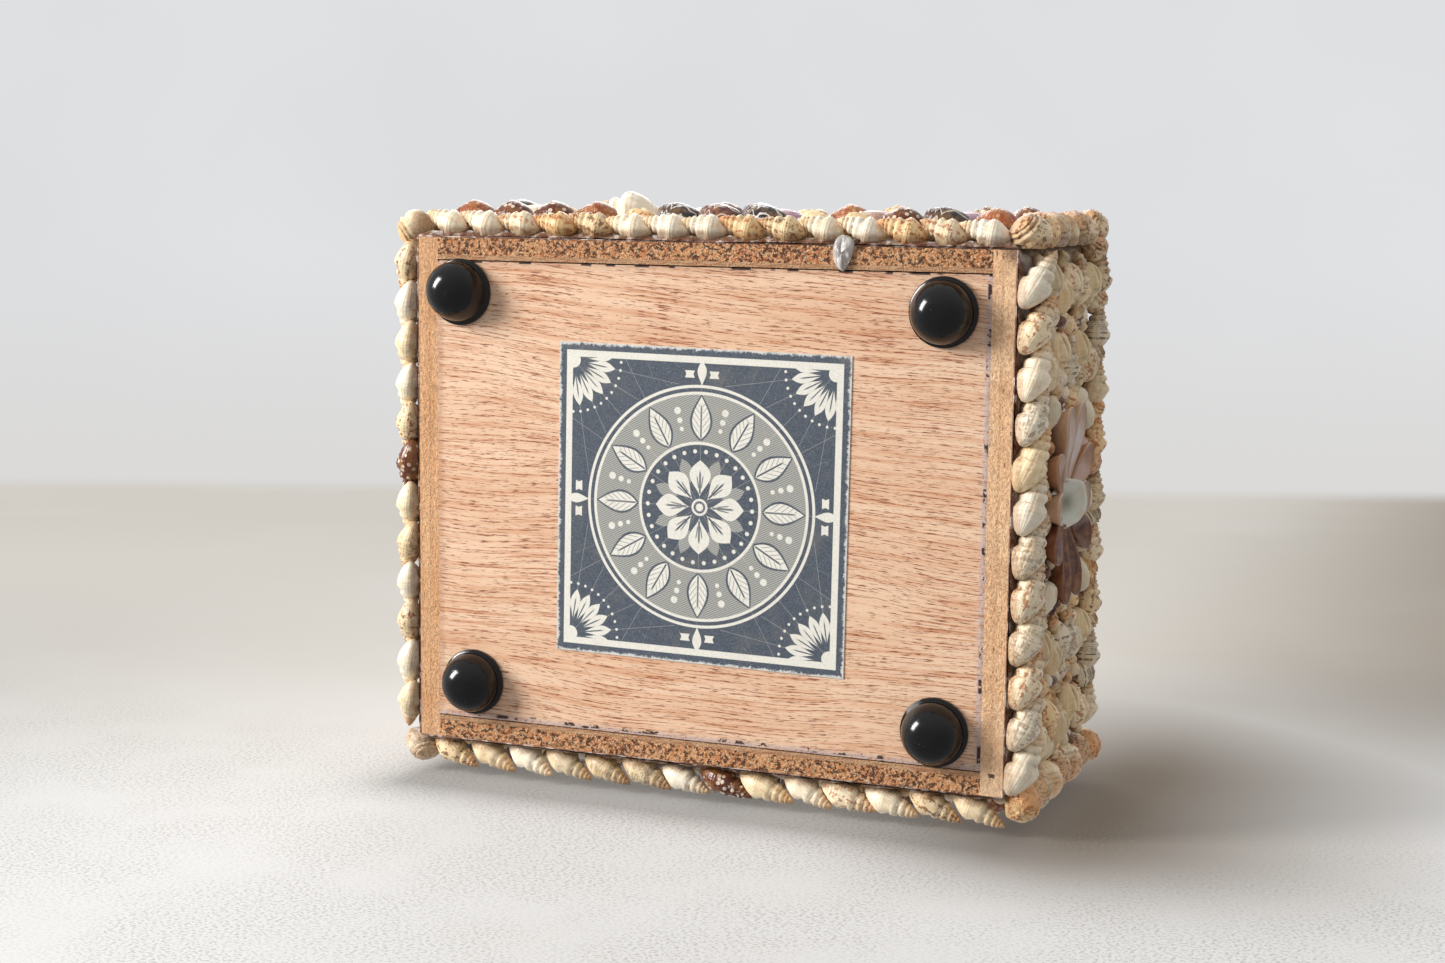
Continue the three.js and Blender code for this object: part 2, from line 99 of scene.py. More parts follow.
cream = {"length": 10.0, "girth": 8.6, "height": 4.4, "across": 0.87, "up": 0.77}
chip = {"length": 12.48, "girth": 14.4, "height": 1.98, "turn": 8, "lift": 30}
lidFlower = {"petals": 12, "inner": 9.4, "length": 24.0, "girth": 10.4, "height": 5.0}
boss = {"length": 10.64, "girth": 17.0, "height": 7.6}
lidRows = {"inset": 6.4, "pitch": 12.4, "innerInset": 20.0}
lidFan = {"length": 17.0, "girth": 15.0, "height": 5.0}


def scatter(n, salt):  # repeatable value from -1 to 1 for the nth shell
    value = math.sin(n * 12.9898 + salt * 78.233) * 43758.5453
    return 2 * (value - math.floor(value)) - 1


def ease(value, low, high):
    share = np.clip((value - low) / (high - low), 0, 1)
    return share * share * (3 - 2 * share)


# Faces of the box: along runs left to right, up is up the face, out is away from the box
def sideFace(name, salt, half, offset, along, out, fineness, whelk=False):
    basis = np.array([along, (0, 0, 1), out], float).T
    origin = np.array(out, float) * offset + np.array((0, 0, carcase["bottom"]))
    return {"name": name, "salt": salt, "half": half, "basis": basis, "origin": origin, "fineness": fineness,
            "whelk": whelk}


longHalf, shortHalf = carcase["halfLength"], carcase["halfWidth"]
frontFace = sideFace("front", 1, longHalf, shortHalf, (1, 0, 0), (0, -1, 0), 0.95, True)
rightFace = sideFace("right", 2, shortHalf, longHalf, (0, 1, 0), (1, 0, 0), 1.0)
backFace = sideFace("back", 3, longHalf, shortHalf, (-1, 0, 0), (0, 1, 0), 0.72, True)
leftFace = sideFace("left", 4, shortHalf, longHalf, (0, -1, 0), (-1, 0, 0), 0.72)
sides = [frontFace, rightFace, backFace, leftFace]
lidFace = {"name": "lid_top", "salt": 5, "half": longHalf, "basis": np.eye(3), "whelk": False,
           "origin": np.array((0, 0, carcase["top"])), "fineness": 0.58}


# Paint of the shells, as sRGB colours and strengths of the marks
def tone(r, g, b):
    return tuple((c / 255 / 12.92) if c <= 10 else ((c / 255 + 0.055) / 1.055) ** 2.4 for c in (r, g, b))


def paint(base, mark, suture, speck, rows=0.0, net=0.0, dots=0.0, rough=0.42, *, apex):
    colours = {"base": tone(*base), "mark": tone(*mark), "apex": tone(*apex)}
    marks = {"suture": suture, "speck": speck, "rows": rows, "net": net, "dots": dots}
    return {**colours, **marks, "rough": rough}


looks = {
    "white": paint((250, 243, 228), (176, 112, 62), 0.85, 0.12, apex=(236, 196, 148)),
    "cream": paint((244, 228, 198), (164, 98, 48), 0.9, 0.25, apex=(222, 170, 114)),
    "tanMarked": paint((246, 232, 206), (170, 92, 42), 0.95, 0.85, apex=(218, 160, 104)),
    "brownMarked": paint((240, 220, 186), (112, 60, 34), 0.95, 0.95, apex=(206, 148, 98)),
    "greyMarked": paint((246, 236, 218), (104, 76, 60), 0.9, 0.6, 0.45, apex=(222, 174, 122)),
    "orangeMarked": paint((242, 212, 164), (184, 92, 38), 0.9, 0.95, apex=(220, 152, 94)),
    "dashed": paint((236, 224, 202), (62, 42, 34), 0.5, 0.1, 0.95, apex=(200, 160, 120)),
    "banded": paint((238, 218, 184), (98, 58, 34), 0.95, 0.4, 0.6, apex=(184, 128, 84)),
    "grey": paint((228, 210, 176), (160, 120, 80), 0.5, 0.12, apex=(208, 172, 126)),
    "ivory": paint((234, 214, 176), (180, 130, 78), 0.4, 0.15, rough=0.36, apex=(220, 188, 140)),
    "zigzag": paint((34, 30, 36), (222, 214, 204), 0.0, 0.0, net=1.0, rough=0.2, apex=(90, 60, 60)),
    "plumZigzag": paint((84, 42, 48), (226, 208, 196), 0.0, 0.0, net=0.8, rough=0.2, apex=(120, 80, 76)),
    "dotted": paint((92, 42, 26), (232, 214, 192), 0.0, 0.0, dots=1.0, rough=0.22, apex=(120, 66, 44)),
    "chestnut": paint((150, 76, 38), (226, 190, 150), 0.2, 0.15, dots=0.5, rough=0.25, apex=(110, 56, 34)),
    "violet": paint((176, 134, 154), (214, 190, 196), 0.0, 0.1, rows=0.6, rough=0.3, apex=(150, 104, 134)),
    "rose": paint((206, 160, 150), (232, 206, 192), 0.0, 0.1, rows=0.5, rough=0.3, apex=(180, 120, 124)),
    "creamValve": paint((232, 218, 190), (204, 172, 130), 0, 0.05, 0.35, rough=0.34, apex=(216, 184, 142)),
    "petalDark": paint((86, 42, 30), (144, 90, 66), 0.0, 0.05, rows=0.12, rough=0.22, apex=(62, 30, 25)),
    "petalPale": paint((220, 210, 206), (222, 178, 142), 0, 0.02, 0.04, rough=0.24, apex=(184, 168, 170)),
    "petalRose": paint((206, 170, 154), (202, 146, 108), 0, 0.05, 0.08, rough=0.24, apex=(176, 132, 120)),
    "pearl": paint((214, 212, 196), (236, 228, 208), 0.0, 0.0, rough=0.16, apex=(92, 96, 70)),
}


# One heap of vertices, faces and paint for a piece
heapKeys = ("places", "faces", "slots", "base", "mark", "strength", "site")


def newHeap():
    return {"count": 0, **{key: [] for key in heapKeys}}


def pour(heap, places, faces, look, site, slot=0, colour=None):
    n = len(places)
    base = np.broadcast_to(look["base"] if colour is None else colour, (n, 3))
    poured = {
        "places": places, "faces": np.where(faces < 0, faces, faces + heap["count"]), "site": site,
        "slots": np.full(len(faces), slot, np.int32),
        "base": np.column_stack([base, np.full(n, look["rough"])]),
        "mark": np.tile((*look["mark"], look["speck"]), (n, 1)),
        "strength": np.tile((look["suture"], look["rows"], look["net"], look["dots"]), (n, 1)),
    }
    for key, values in poured.items():
        heap[key].append(values)
    heap["count"] += n


def setAttribute(mesh, name, kind, field, values):
    attribute = mesh.attributes.new(name, kind, "POINT")
    attribute.data.foreach_set(field, np.ascontiguousarray(values, np.float32).ravel())


def makePiece(name, heap, materials):
    places = np.concatenate(heap["places"]) * mm
    faces = np.concatenate(heap["faces"])
    sizes = np.where(faces[:, 3] < 0, 3, 4)  # a triangle's fourth number is -1
    loops = faces[faces >= 0]
    mesh = bpy.data.meshes.new(name)
    mesh.vertices.add(len(places))
    mesh.loops.add(len(loops))
    mesh.polygons.add(len(faces))
    mesh.vertices.foreach_set("co", np.ascontiguousarray(places, np.float32).ravel())
    mesh.loops.foreach_set("vertex_index", loops.astype(np.int32))
    mesh.polygons.foreach_set("loop_start", np.concatenate(([0], np.cumsum(sizes)[:-1])).astype(np.int32))
    mesh.polygons.foreach_set("material_index", np.concatenate(heap["slots"]))
    mesh.polygons.foreach_set("use_smooth", np.ones(len(faces), bool))
    mesh.update(calc_edges=True)
    for key in ("base", "mark", "strength"):
        setAttribute(mesh, "shell" + key.capitalize(), "FLOAT_COLOR", "color", np.concatenate(heap[key]))
    site = np.concatenate(heap["site"])
    setAttribute(mesh, "shellSite", "FLOAT_VECTOR", "vector", site[:, :3])
    setAttribute(mesh, "shellDepth", "FLOAT", "value", site[:, 3])
    for material in materials:
        mesh.materials.append(material)
    piece = bpy.data.objects.new(name + "_fine", mesh)
    bpy.context.scene.collection.objects.link(piece)
    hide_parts(name)
    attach(piece, "root")


# Faces of a grid closed round its columns, with a pole vertex before the first row and one after the last
def poleFaces(rows, columns, inward=False):
    j = np.arange(columns)
    k = (j + 1) % columns
    none = np.full(columns, -1)
    first = np.stack([np.zeros(columns), 1 + k, 1 + j, none], 1)
    i = np.arange(rows - 1)[:, None] * columns + 1
    body = np.stack([i + j, i + k, i + columns + k, i + columns + j], -1).reshape(-1, 4)
    end = 1 + (rows - 1) * columns
    last = np.stack([end + j, end + k, np.full(columns, 1 + rows * columns), none], 1)
    if inward:
        first, body, last = first[:, [0, 2, 1, 3]], body[:, [0, 3, 2, 1]], last[:, [0, 2, 1, 3]]
    return np.concatenate([first, body, last]).astype(np.int64)


def withPoles(first, x, y, z, last):  # places of a grid and of its two poles
    return np.concatenate([[first], np.stack([x, y, z], -1).reshape(-1, 3), [last]])


def flat(grid, first, last):
    return np.concatenate([[first], grid.ravel(), [last]])


def siteOf(s, whorl, turn):  # whorl, turn, seed, height above the bed
    return np.stack([whorl, turn, np.full(len(whorl), s["seed"] * 7.31 % 40), np.zeros(len(whorl))], 1)


def mixed(first, second, share):
    return first * (1 - share[:, None]) + second * share[:, None]


def turnPlaces(places, first, second, degrees):  # turns the places from the first axis to the second
    c, q = math.cos(math.radians(degrees)), math.sin(math.radians(degrees))
    x, y = places[:, first].copy(), places[:, second].copy()
    places[:, first], places[:, second] = c * x - q * y, q * x + c * y


# Spiral shells: shares along the shell, growth from whorl to whorl, relief, tilt and fineness of the grid
spiralKeys = ("wide", "rise", "last", "growth", "whorls", "bulge", "ribs", "ribDepth", "base", "fold", "tilt",
              "fine")
spiralRows = {
    "whelk": (0.58, 0.84, 0.5, 1.44, 3.9, 0.3, 13, 0.035, 0.22, 0.95, 8, 1),
    "big": (0.58, 0.95, 0.5, 1.38, 4.6, 0.3, 16, 0.03, 0.24, 1.0, 4, 1.6),
    "snail": (0.55, 0.62, 0.4, 1.6, 2.4, 0.2, 11, 0.04, 0.42, 0.6, 46, 1),
    "nerite": (0.52, 0.5, 0.2, 1.9, 1.2, 0.1, 0, 0, 0.5, 0.5, 14, 1),
    "dove": (0.5, 0.75, 0.42, 1.55, 2.2, 0.1, 0, 0, 0.34, 0.55, 4, 1),
    "slit": (0.5, 0.8, 0.42, 1.5, 2.2, 0.2, 11, 0.045, 0.34, 0.6, -3, 1),
    "top": (0.82, 0.9, 0.8, 1.35, 5.5, 0.12, 22, 0.03, 0.75, 0.5, 90, 1.6),
}
spirals = {name: dict(zip(spiralKeys, row)) for name, row in spiralRows.items()}
spiralGrid = {"crownColumns": 30, "bedColumns": 5, "whorlRows": 5.5, "bodyRows": 10, "bedSpan": 1.0,
              "fewest": 6}
lip = {"end": 0.985, "start": 0.93, "span": 0.075}
mouth = {"middle": 0.62, "slant": 0.5, "wide": 0.17, "deep": 0.55, "lipPlace": 0.42, "lipWide": 0.16,
         "lipRise": 0.14}


def spiralGridOf(form, fineness):
    last, whorls, finer = form["last"], form["whorls"], form["fine"] ** 0.5
    columns = int(spiralGrid["crownColumns"] * fineness * (1.5 if form["fine"] > 1 else 1))
    spireRows = max(spiralGrid["fewest"], int(spiralGrid["whorlRows"] * whorls * fineness * finer))
    bodyRows = max(spiralGrid["fewest"], int(spiralGrid["bodyRows"] * fineness * finer))
    spire = np.geomspace(last / form["growth"] ** whorls, last, spireRows, endpoint=False)
    body = last + (lip["end"] - last) * np.linspace(0, 1, bodyRows) ** 0.9
    reach = math.pi - spiralGrid["bedSpan"]
    crown = np.linspace(-reach, reach, columns)
    below = reach + (2 * math.pi - 2 * reach) * np.linspace(0, 1, spiralGrid["bedColumns"] + 2)[1:-1]
    return np.concatenate([spire, body]), np.concatenate([crown, below])


def envelopeOf(s, form, S):  # how much of the full girth it has along the shell
    wide = form["wide"]
    u = np.clip((S - wide) / (1 - wide), 0, 1)
    envelope = np.where(S < wide, np.clip(S / wide, 0, 1) ** form["rise"],
                        form["base"] + (1 - form["base"]) * np.cos(u * math.pi / 2) ** form["fold"])
    envelope *= np.sqrt(np.clip(1 - np.clip((S - lip["start"]) / lip["span"], 0, 1) ** 2, 0, 1))
    if s["style"] in ("nerite", "snail"):
        blunt = np.sqrt(np.clip(1 - (1 - S / wide) ** 2, 0, 1)) ** (form["rise"] * 1.6)
        envelope = np.where(S < wide, blunt, envelope)
    return envelope


def spiralShell(s):
    form = spirals[s["style"]]
    wide, last, growth = form["wide"], form["last"], form["growth"]
    along, around = spiralGridOf(form, s["fineness"])
    S, A = np.meshgrid(along, around, indexing="ij")
    mouthUp = s["style"] == "slit"
    turn = np.mod(A + (0 if mouthUp else math.pi + 0.45 * scatter(s["seed"], 91)), 2 * math.pi)
    p = np.log(S / (last * growth ** 0.5)) / math.log(growth) + turn / (2 * math.pi)
    whorl = np.where(p < 0, p - np.floor(p), p)
    inner = np.minimum(whorl, np.where(p < 0, 1.0, 0.42))
    swell = np.sin(math.pi * inner ** 0.8) ** 0.8
    radius = envelopeOf(s, form, S) * (1 - form["bulge"] * (1 - swell))
    if form["ribs"]:
        shown = (1 - ease(S, wide, wide + 0.28)) * swell
        radius *= 1 + form["ribDepth"] * shown * np.cos(form["ribs"] * turn + 1.2 * np.sin(whorl * 2))
    radius *= 1 + 0.012 * np.sin(2 * math.pi * 6 * whorl)
    groove = np.zeros_like(S)
    if mouthUp:  # a long dark mouth between two thick lips
        angle = np.mod(A + math.pi, 2 * math.pi) - math.pi
        sweep = angle - mouth["slant"] * (S - mouth["middle"])
        span = ease(S, last - 0.02, last + 0.1) * (1 - ease(S, 0.86, 0.97))
        groove = span * np.exp(-(sweep / mouth["wide"]) ** 2)
        lips = np.exp(-((np.abs(sweep) - mouth["lipPlace"]) / mouth["lipWide"]) ** 2)
        radius = radius * (1 - mouth["deep"] * groove + mouth["lipRise"] * span * lips)
    halfGirth, length = s["girth"] / 2, s["length"]
    places = withPoles((0.25 * along[0] * length - 0.5 * length, 0, 0), (S - 0.5) * length,
                       radius * halfGirth * np.sin(A), radius * halfGirth * np.cos(A), (0.49 * length, 0, 0))
    painted = np.where(p < 0, whorl, 0.92 * (1 - np.exp(-np.maximum(p, 0) / 0.9)))
    turnPlaces(places, 0, 2, -s.get("tilt", form["tilt"]))
    places[:, 2] += s["height"] - places[:, 2].max()
    colour = colourAlong(s, flat(S, 0, 1), flat(groove, 0, 0))
    faces = poleFaces(len(along), len(around), True)
    return places, faces, siteOf(s, flat(painted, 0.5, 0.9), flat(turn, 0, 0)), colour


def colourAlong(s, share, groove):
    look, seed = looks[s["look"]], s["seed"]
    colour = mixed(np.array(look["base"]), np.array(look["apex"]), (1 - ease(share, 0.08, 0.42)) * 0.75)
    colour = colour * (1 + 0.1 * scatter(seed, 17)) * (1 + np.array([0.03, 0.0, -0.05]) * scatter(seed, 23))
    # painted shade: the groove of the slit mouth is darkened to a deep brown
    return mixed(colour * (1.04, 0.97, 0.85), np.array(tone(70, 46, 34)), np.clip(groove * 1.3, 0, 1))


# Single valves: a fan or oval dome with its crown set back to the hinge, or a hollow one that lies open
valves = {
    "fan": {"ribs": 0, "ribDepth": 0, "shift": 0.18, "taper": 0.16, "open": 0},
    "cockle": {"ribs": 22, "ribDepth": 0.06, "shift": 0.2, "taper": 0.12, "open": 0},
    "petal": {"ribs": 0, "ribDepth": 0, "shift": 0.04, "taper": 0.3, "open": 1},
    "chip": {"ribs": 0, "ribDepth": 0, "shift": 0.0, "taper": 0.0, "open": 1},
}
valveGrid = {"rings": 9, "columns": 40}


def openRows(s, R, A, outX, outY):  # a dish with a lip, and a foot under it
    swell = 0.9 + 0.1 * np.sin(A + s["seed"])
    hollow = 0.4 + 0.6 * R ** 2.2
    if s["style"] == "petal":
        swell = 0.62 + 0.38 * ease(np.cos(A), -1, 0.6)
        hollow = 0.42 + 0.58 * np.maximum((np.abs(np.sin(A)) * R) ** 1.6, R ** 7)
    z = s["height"] * swell * hollow
    half, girth, narrow = s["length"] / 2, s["girth"] / 2, 0.62
    lipX, lipY, lipZ = outX[-1:] * half, outY[-1:] * girth, z[-1:] - 0.75
    x = np.concatenate([outX * R * half, lipX, lipX * narrow])
    y = np.concatenate([outY * R * girth, lipY, lipY * narrow])
    return x, y, np.concatenate([z, lipZ, np.zeros_like(lipZ)]), (0, 0, z[0].min() * 0.98)


def domeRows(s, R, A, outX, outY):  # a dome with its rim on the bed
    form, edge = valves[s["style"]], 0.35
    half, girth, height, shift = s["length"] / 2, s["girth"] / 2, s["height"], form["shift"] * s["length"]
    dome = np.clip(1 - R ** 2.3, 0, 1) ** 0.72
    z = height * dome
    if form["ribs"]:
        z = z + height * form["ribDepth"] * R * (1 - R ** 8) * np.cos(form["ribs"] * A)
    z = z + 0.02 * height * np.sin(R * 34) * (1 - R ** 6)
    x = outX * R * half - shift * dome
    x, y = np.concatenate([x, outX[-1:] * half]), np.concatenate([outY * R * girth, outY[-1:] * girth])
    return x, y, np.concatenate([z + edge, np.zeros_like(z[-1:])]), (-shift, 0, height + edge)


def valveShell(s):
    form, look = valves[s["style"]], looks[s["look"]]
    rings, columns = (int(valveGrid[key] * s["fineness"]) for key in ("rings", "columns"))
    around = np.linspace(0, 2 * math.pi, columns, endpoint=False)
    R, A = np.meshgrid(np.linspace(0, 1, rings + 1)[1:] ** 0.85, around, indexing="ij")
    edge = 1.0
    if s["style"] == "chip":  # a broken outline
        edge = 1 - 0.07 * np.abs(np.sin(2.5 * A + s["seed"])) - 0.02 * np.sin(7 * A + 1.3)
    outX = np.cos(A) * edge
    outY = np.sin(A) * (1 + form["taper"] * np.cos(A)) / (1 + form["taper"] * 0.5) * edge
    x, y, z, first = (openRows if form["open"] else domeRows)(s, R, A, outX, outY)
    places = withPoles(first, x, y, z, (x[-1].mean(), y[-1].mean(), 0))
    whorl = flat(np.concatenate([R, np.ones((len(x) - rings, columns))]), 0, 1)
    site = siteOf(s, whorl, flat(np.tile(around, (len(x), 1)), 0, 0))
    base, apex = np.array(look["base"]), np.array(look["apex"])
    if form["open"]:
        colour = mixed(base, apex, (1 - ease(whorl, 0.0, 0.7)) * 0.85)
        colour = mixed(colour, np.array(look["mark"]), ease(whorl, 0.86, 0.97) * 0.8)
    else:
        colour = mixed(base, apex, (1 - ease(whorl, 0.0, 0.5)) * 0.6)
    return places, poleFaces(len(x), columns, True), site, colour * (1 + 0.08 * scatter(s["seed"], 17))


def addShell(heap, face, s):
    s = {"seed": s["n"] + 37 * face["salt"], **s, "fineness": face["fineness"] * s.get("fineness", 1.0)}
    places, faces, site, colour = (valveShell if s["style"] in valves else spiralShell)(s)
    turnPlaces(places, 0, 1, s["turn"])
    if "lift" in s:  # the upper edge stands off the face
        turnPlaces(places, 1, 2, s["lift"])
        places[:, 2] -= places[:, 2].min() * 0.8
    places += (s["a"], s["b"], s.get("level", bed["thickness"] - bed["sink"]))
    places[:, 2] = np.maximum(places[:, 2], 0.25)
    site[:, 3] = np.clip((places[:, 2] - bed["thickness"]) / 3.5, 0, 1)
    pour(heap, places @ face["basis"].T + face["origin"], faces, looks[s["look"]], site, colour=colour)


# Layout of the shells, as in the solids; size holds a length, a girth and a height
def shell(style, look, a, b, turn, size, n, **more):
    sizes = {key: size[key] for key in ("length", "girth", "height")}
    return {"style": style, "look": look, "a": a, "b": b, "turn": turn, **sizes, "n": n, **more}


def pick(names, i):
    return names[i % len(names)]


def line(start, end, pitch, make):
    count = max(2, round((end - start) / pitch) + 1)
    return [make(start + (end - start) * i / (count - 1), i) for i in range(count)]


loose = {  # how far chance moves the shells
    "ropeSize": 0.05, "ropeTurn": 6, "ropeTilt": 5, "snailSize": 0.04, "snailTurn": 60, "snailHeight": 0.1,
    "darkPlace": 0.7, "darkTurn": 14, "valveTurn": 50, "topPlace": 0.5, "slitTurn": 12,
    "aboveTurn": 20, "lidRopeTurn": 4, "lidRowTurn": 10, "lidFanTurn": 8, "lidSideTurn": 12,
    "fillerSpot": 0.45, "fillerTurn": 180, "fillerHeight": 0.6,
}


def chance(key, n, salt):
    return loose[key] * scatter(n, salt)


ranks = {  # number of the first shell of each row; the numbers seed the scatter
    "corner": 40, "dark": 60, "valve": 80, "top": 100, "slit": 120, "petal": 160, "chip": 175, "cream": 180,
    "above": 185, "lidRope": 200, "lidBetween": 210, "lidCorner": 220, "lidStart": 230, "lidRow": 240,
    "lidFan": 310, "lidSide": 380, "lidPetal": 400, "boss": 430, "filler": 500,
}
ropeTop = rope["length"] * math.sin(math.radians(-rope["lean"]))
ropeTop += rope["girth"] * 2 * rope["rise"] + rope["lap"]
fieldTop = carcase["height"] - bed["lidSeam"]
darkLevel = ropeTop + dark["girth"] / 2 - dark["under"] * rope["lap"]
valveLevel = darkLevel + (dark["girth"] + valve["length"]) / 2 + valve["gap"]
upperLevel = valveLevel + (valve["length"] + dark["girth"]) / 2 + valve["gap"]

# Looks along the ropes that the photo shows, and those that repeat elsewhere
ropeLooks = {
    "front": ["white", "white", "tanMarked", "orangeMarked", "brownMarked", "white", "white", "white",
              "orangeMarked", "brownMarked", "white", "white", "orangeMarked", "tanMarked", "white"],
    "right": ["white", "tanMarked", "white", "greyMarked", "cream", "white", "greyMarked", "tanMarked",
              "greyMarked", "tanMarked", "greyMarked"],
    "back": ["cream", "brownMarked", "white", "tanMarked", "white", "cream", "dotted", "white", "banded",
             "banded", "cream", "white"],
    "left": ["cream", "white", "brownMarked", "white", "banded", "cream", "dotted", "brownMarked", "white"],
}
cornerLooks = ["tanMarked", "brownMarked", "orangeMarked", "greyMarked", "cream", "brownMarked"]
darkLooks = ["zigzag", "dotted", "plumZigzag", "chestnut", "zigzag", "brownMarked", "orangeMarked"]
darkFront = ["chestnut", "dotted", "dotted", "chestnut", "orangeMarked", "zigzag", "plumZigzag", "zigzag",
             "cream", "ivory", "dotted", "zigzag", "chestnut"]
darkStyles = {"zigzag": "nerite", "plumZigzag": "nerite", "dotted": "dove", "chestnut": "dove"}
slitLooks = ["cream", "ivory", "tanMarked", "grey", "cream", "greyMarked", "ivory"]
slitMates = ["dashed", "banded", "dashed", "orangeMarked"]
valveLooks = ["violet", "creamValve", "rose", "creamValve", "violet", "rose"]
petalLooks = ["petalDark", "petalDark", "petalPale", "petalRose", "petalPale", "petalPale", "petalRose",
              "petalPale", "petalDark", "petalDark"]
lidRopeLooks = ["banded", "tanMarked", "brownMarked", "dashed", "cream", "orangeMarked"]


def edgeRope(face):
    way, names = laid[face["name"]], ropeLooks[face["name"]]
    reach = rope["length"] / 2 * math.cos(math.radians(rope["lean"]))
    first = -face["half"] + rope["margin"] + reach
    last = face["half"] - corner["size"] / 2 - reach * rope["tuck"]
    count = math.floor((last - first) / rope["pitch"] + 0.5) + 1
    if face["name"] in ("front", "right"):  # the photo shows each shell of these two
        count = max(count, len(names))
    shells = []
    for i in range(count):
        share = 1 + chance("ropeSize", i, face["salt"])
        size = {"length": rope["length"] * share * way["long"], "girth": rope["girth"] * share * way["broad"],
                "height": rope["height"] + way["lift"]}
        place = first + (last - first) * i / (count - 1)
        turn, tilt = way["lean"] + chance("ropeTurn", i, 2), way["tilt"] + chance("ropeTilt", i, 6)
        shells.append(shell("whelk", pick(names, i), place, way["level"], turn, size, i, tilt=tilt))
    return shells


def cornerColumn(face):
    shells = []
    for i in range(int((fieldTop - corner["size"]) / corner["pitch"]) + 1):
        across = corner["size"] * (1 - loose["snailSize"] * abs(scatter(i, face["salt"] + 5)))
        height = corner["height"] * (1 - loose["snailHeight"] * abs(scatter(i, 3)))
        size = {"length": across, "girth": across, "height": height}
        a = face["half"] + corner["reach"] - corner["shift"] * (i % 2)
        b = corner["size"] / 2 + i * corner["pitch"]
        look, turn = pick(cornerLooks, i + face["salt"]), 90 + chance("snailTurn", i, 7)
        shells.append(shell("snail", look, a, b, turn, size, ranks["corner"] + i))
    return shells


def darkRow(face, level, start):
    def make(a, i):
        look = pick(darkLooks, i * 3 + start + face["salt"])
        style = darkStyles.get(look, "whelk")
        if i % 3 == 1:
            look, style = pick(slitLooks, i + start), "slit"
        if face["name"] == "front" and not start:
            look = pick(darkFront, i)
            style = darkStyles.get(look, "slit")
        height = dark["height"] + (0 if style == "slit" else dark["proud"]) + face["whelk"] * dark["extra"]
        place, turn = level + chance("darkPlace", i, 11), chance("darkTurn", i, 12)
        return shell(style, look, a, place, turn, {**dark, "height": height}, ranks["dark"] + start + i)

    first = -face["half"] + dark["length"] / 2 + rope["margin"]
    return line(first, face["half"] - corner["size"], dark["pitch"], make)


def valveRow(face):
    def make(a, i):
        n, level = ranks["valve"] + i, bed["thickness"]
        if face["whelk"] and i == bigWhelk["rank"]:
            proud = bigWhelk["proud"] if face["name"] == "front" else 0
            size = {**bigWhelk, "height": bigWhelk["height"] + proud}
            return shell("big", "white", a, valveLevel, bigWhelk["turn"], size, n, level=level,
                         tilt=bigWhelk["tilt"])
        look, turn = pick(valveLooks, i + face["salt"]), 90 + chance("valveTurn", i, 21)
        return shell("fan", look, a, valveLevel, turn, valve, n, level=level)

    reach = face["half"] - corner["size"] - valve["length"] / 2
    return line(-reach - 1, reach, valve["pitch"], make)


def topRow(face):
    def make(a, i):
        level = fieldTop - fill["length"] / 2 - loose["topPlace"] * abs(scatter(i, 31))
        return shell("slit", pick(slitLooks, i * 2 + face["salt"]), a, level, 96 if i % 2 else -84, fill,
                     ranks["top"] + i)

    start = -face["half"] + fill["girth"] / 2 + rope["margin"]
    return line(start, face["half"] - corner["size"], fill["girth"] + slit["gap"], make)


def rowedShells(face, keepValves):
    shells = edgeRope(face) + cornerColumn(face) + darkRow(face, darkLevel, 0) + darkRow(face, upperLevel, 13)
    if keepValves:
        shells += [v for v in valveRow(face) if v["style"] != "big"]
    return shells + topRow(face)


def slitBlock(start, end, first):
    low = ropeTop + slit["girth"] / 2 - rope["lap"]
    high = fieldTop - slit["girth"] / 2
    columns = max(1, int((end - start) / slit["length"]))
    rows = int((high - low) / (slit["girth"] + slit["gap"])) + 1
    shells = []
    for n in range(1, columns * rows + 1):
        column, row = divmod(n - 1, rows)
        style, look = "slit", pick(slitLooks, n * 3 + first)
        if (n + first) % 4 == 0:
            style, look = "whelk", pick(slitMates, (n + first) // 4)
        turn = chance("slitTurn", n, 42) + (180 if n % 2 else 0)
        shells.append(shell(style, look, start + (end - start) * (column + 0.5) / columns + scatter(n, 41),
                            low + (high - low) * row / (rows - 1), turn, slit, ranks["slit"] + first + n))
    return shells


def flowerPetals():
    shells = []
    for i in range(flower["petals"]):
        angle = 2 * math.pi * (i + 0.5) / flower["petals"]
        reach = math.hypot(flower["long"] * math.cos(angle), flower["short"] * math.sin(angle))
        middle = (flower["inner"] + reach) / 2
        size = {"length": reach - flower["inner"], "girth": flower["girth"] * flower["broad"],
                "height": flower["rise"] + 0.5 * (i % 2)}
        shells.append(shell("petal", pick(petalLooks, i), flower["place"] + middle * math.cos(angle),
                            flower["level"] + middle * math.sin(angle), math.degrees(angle), size,
                            ranks["petal"] + i, level=bed["thickness"]))
    return shells


def flowerSurround():
    shells = []
    for i, (right, up) in enumerate([(-1, -1), (1, -1), (1, 1), (-1, 1)]):
        shells.append(shell("fan", "creamValve", flower["place"] + right * flower["long"] * cream["across"],
                            flower["level"] + up * flower["short"] * cream["up"], 30 * right * up, cream,
                            ranks["cream"] + i))
    reach, level = flower["long"] - cream["length"] / 2, fieldTop - cream["girth"] / 2
    return shells + line(-reach, reach, cream["length"], lambda a, i: shell(
        "fan", pick(["creamValve", "rose", "creamValve", "ivory"], i), flower["place"] + a, level,
        180 + chance("aboveTurn", i, 81), cream, ranks["above"] + i))


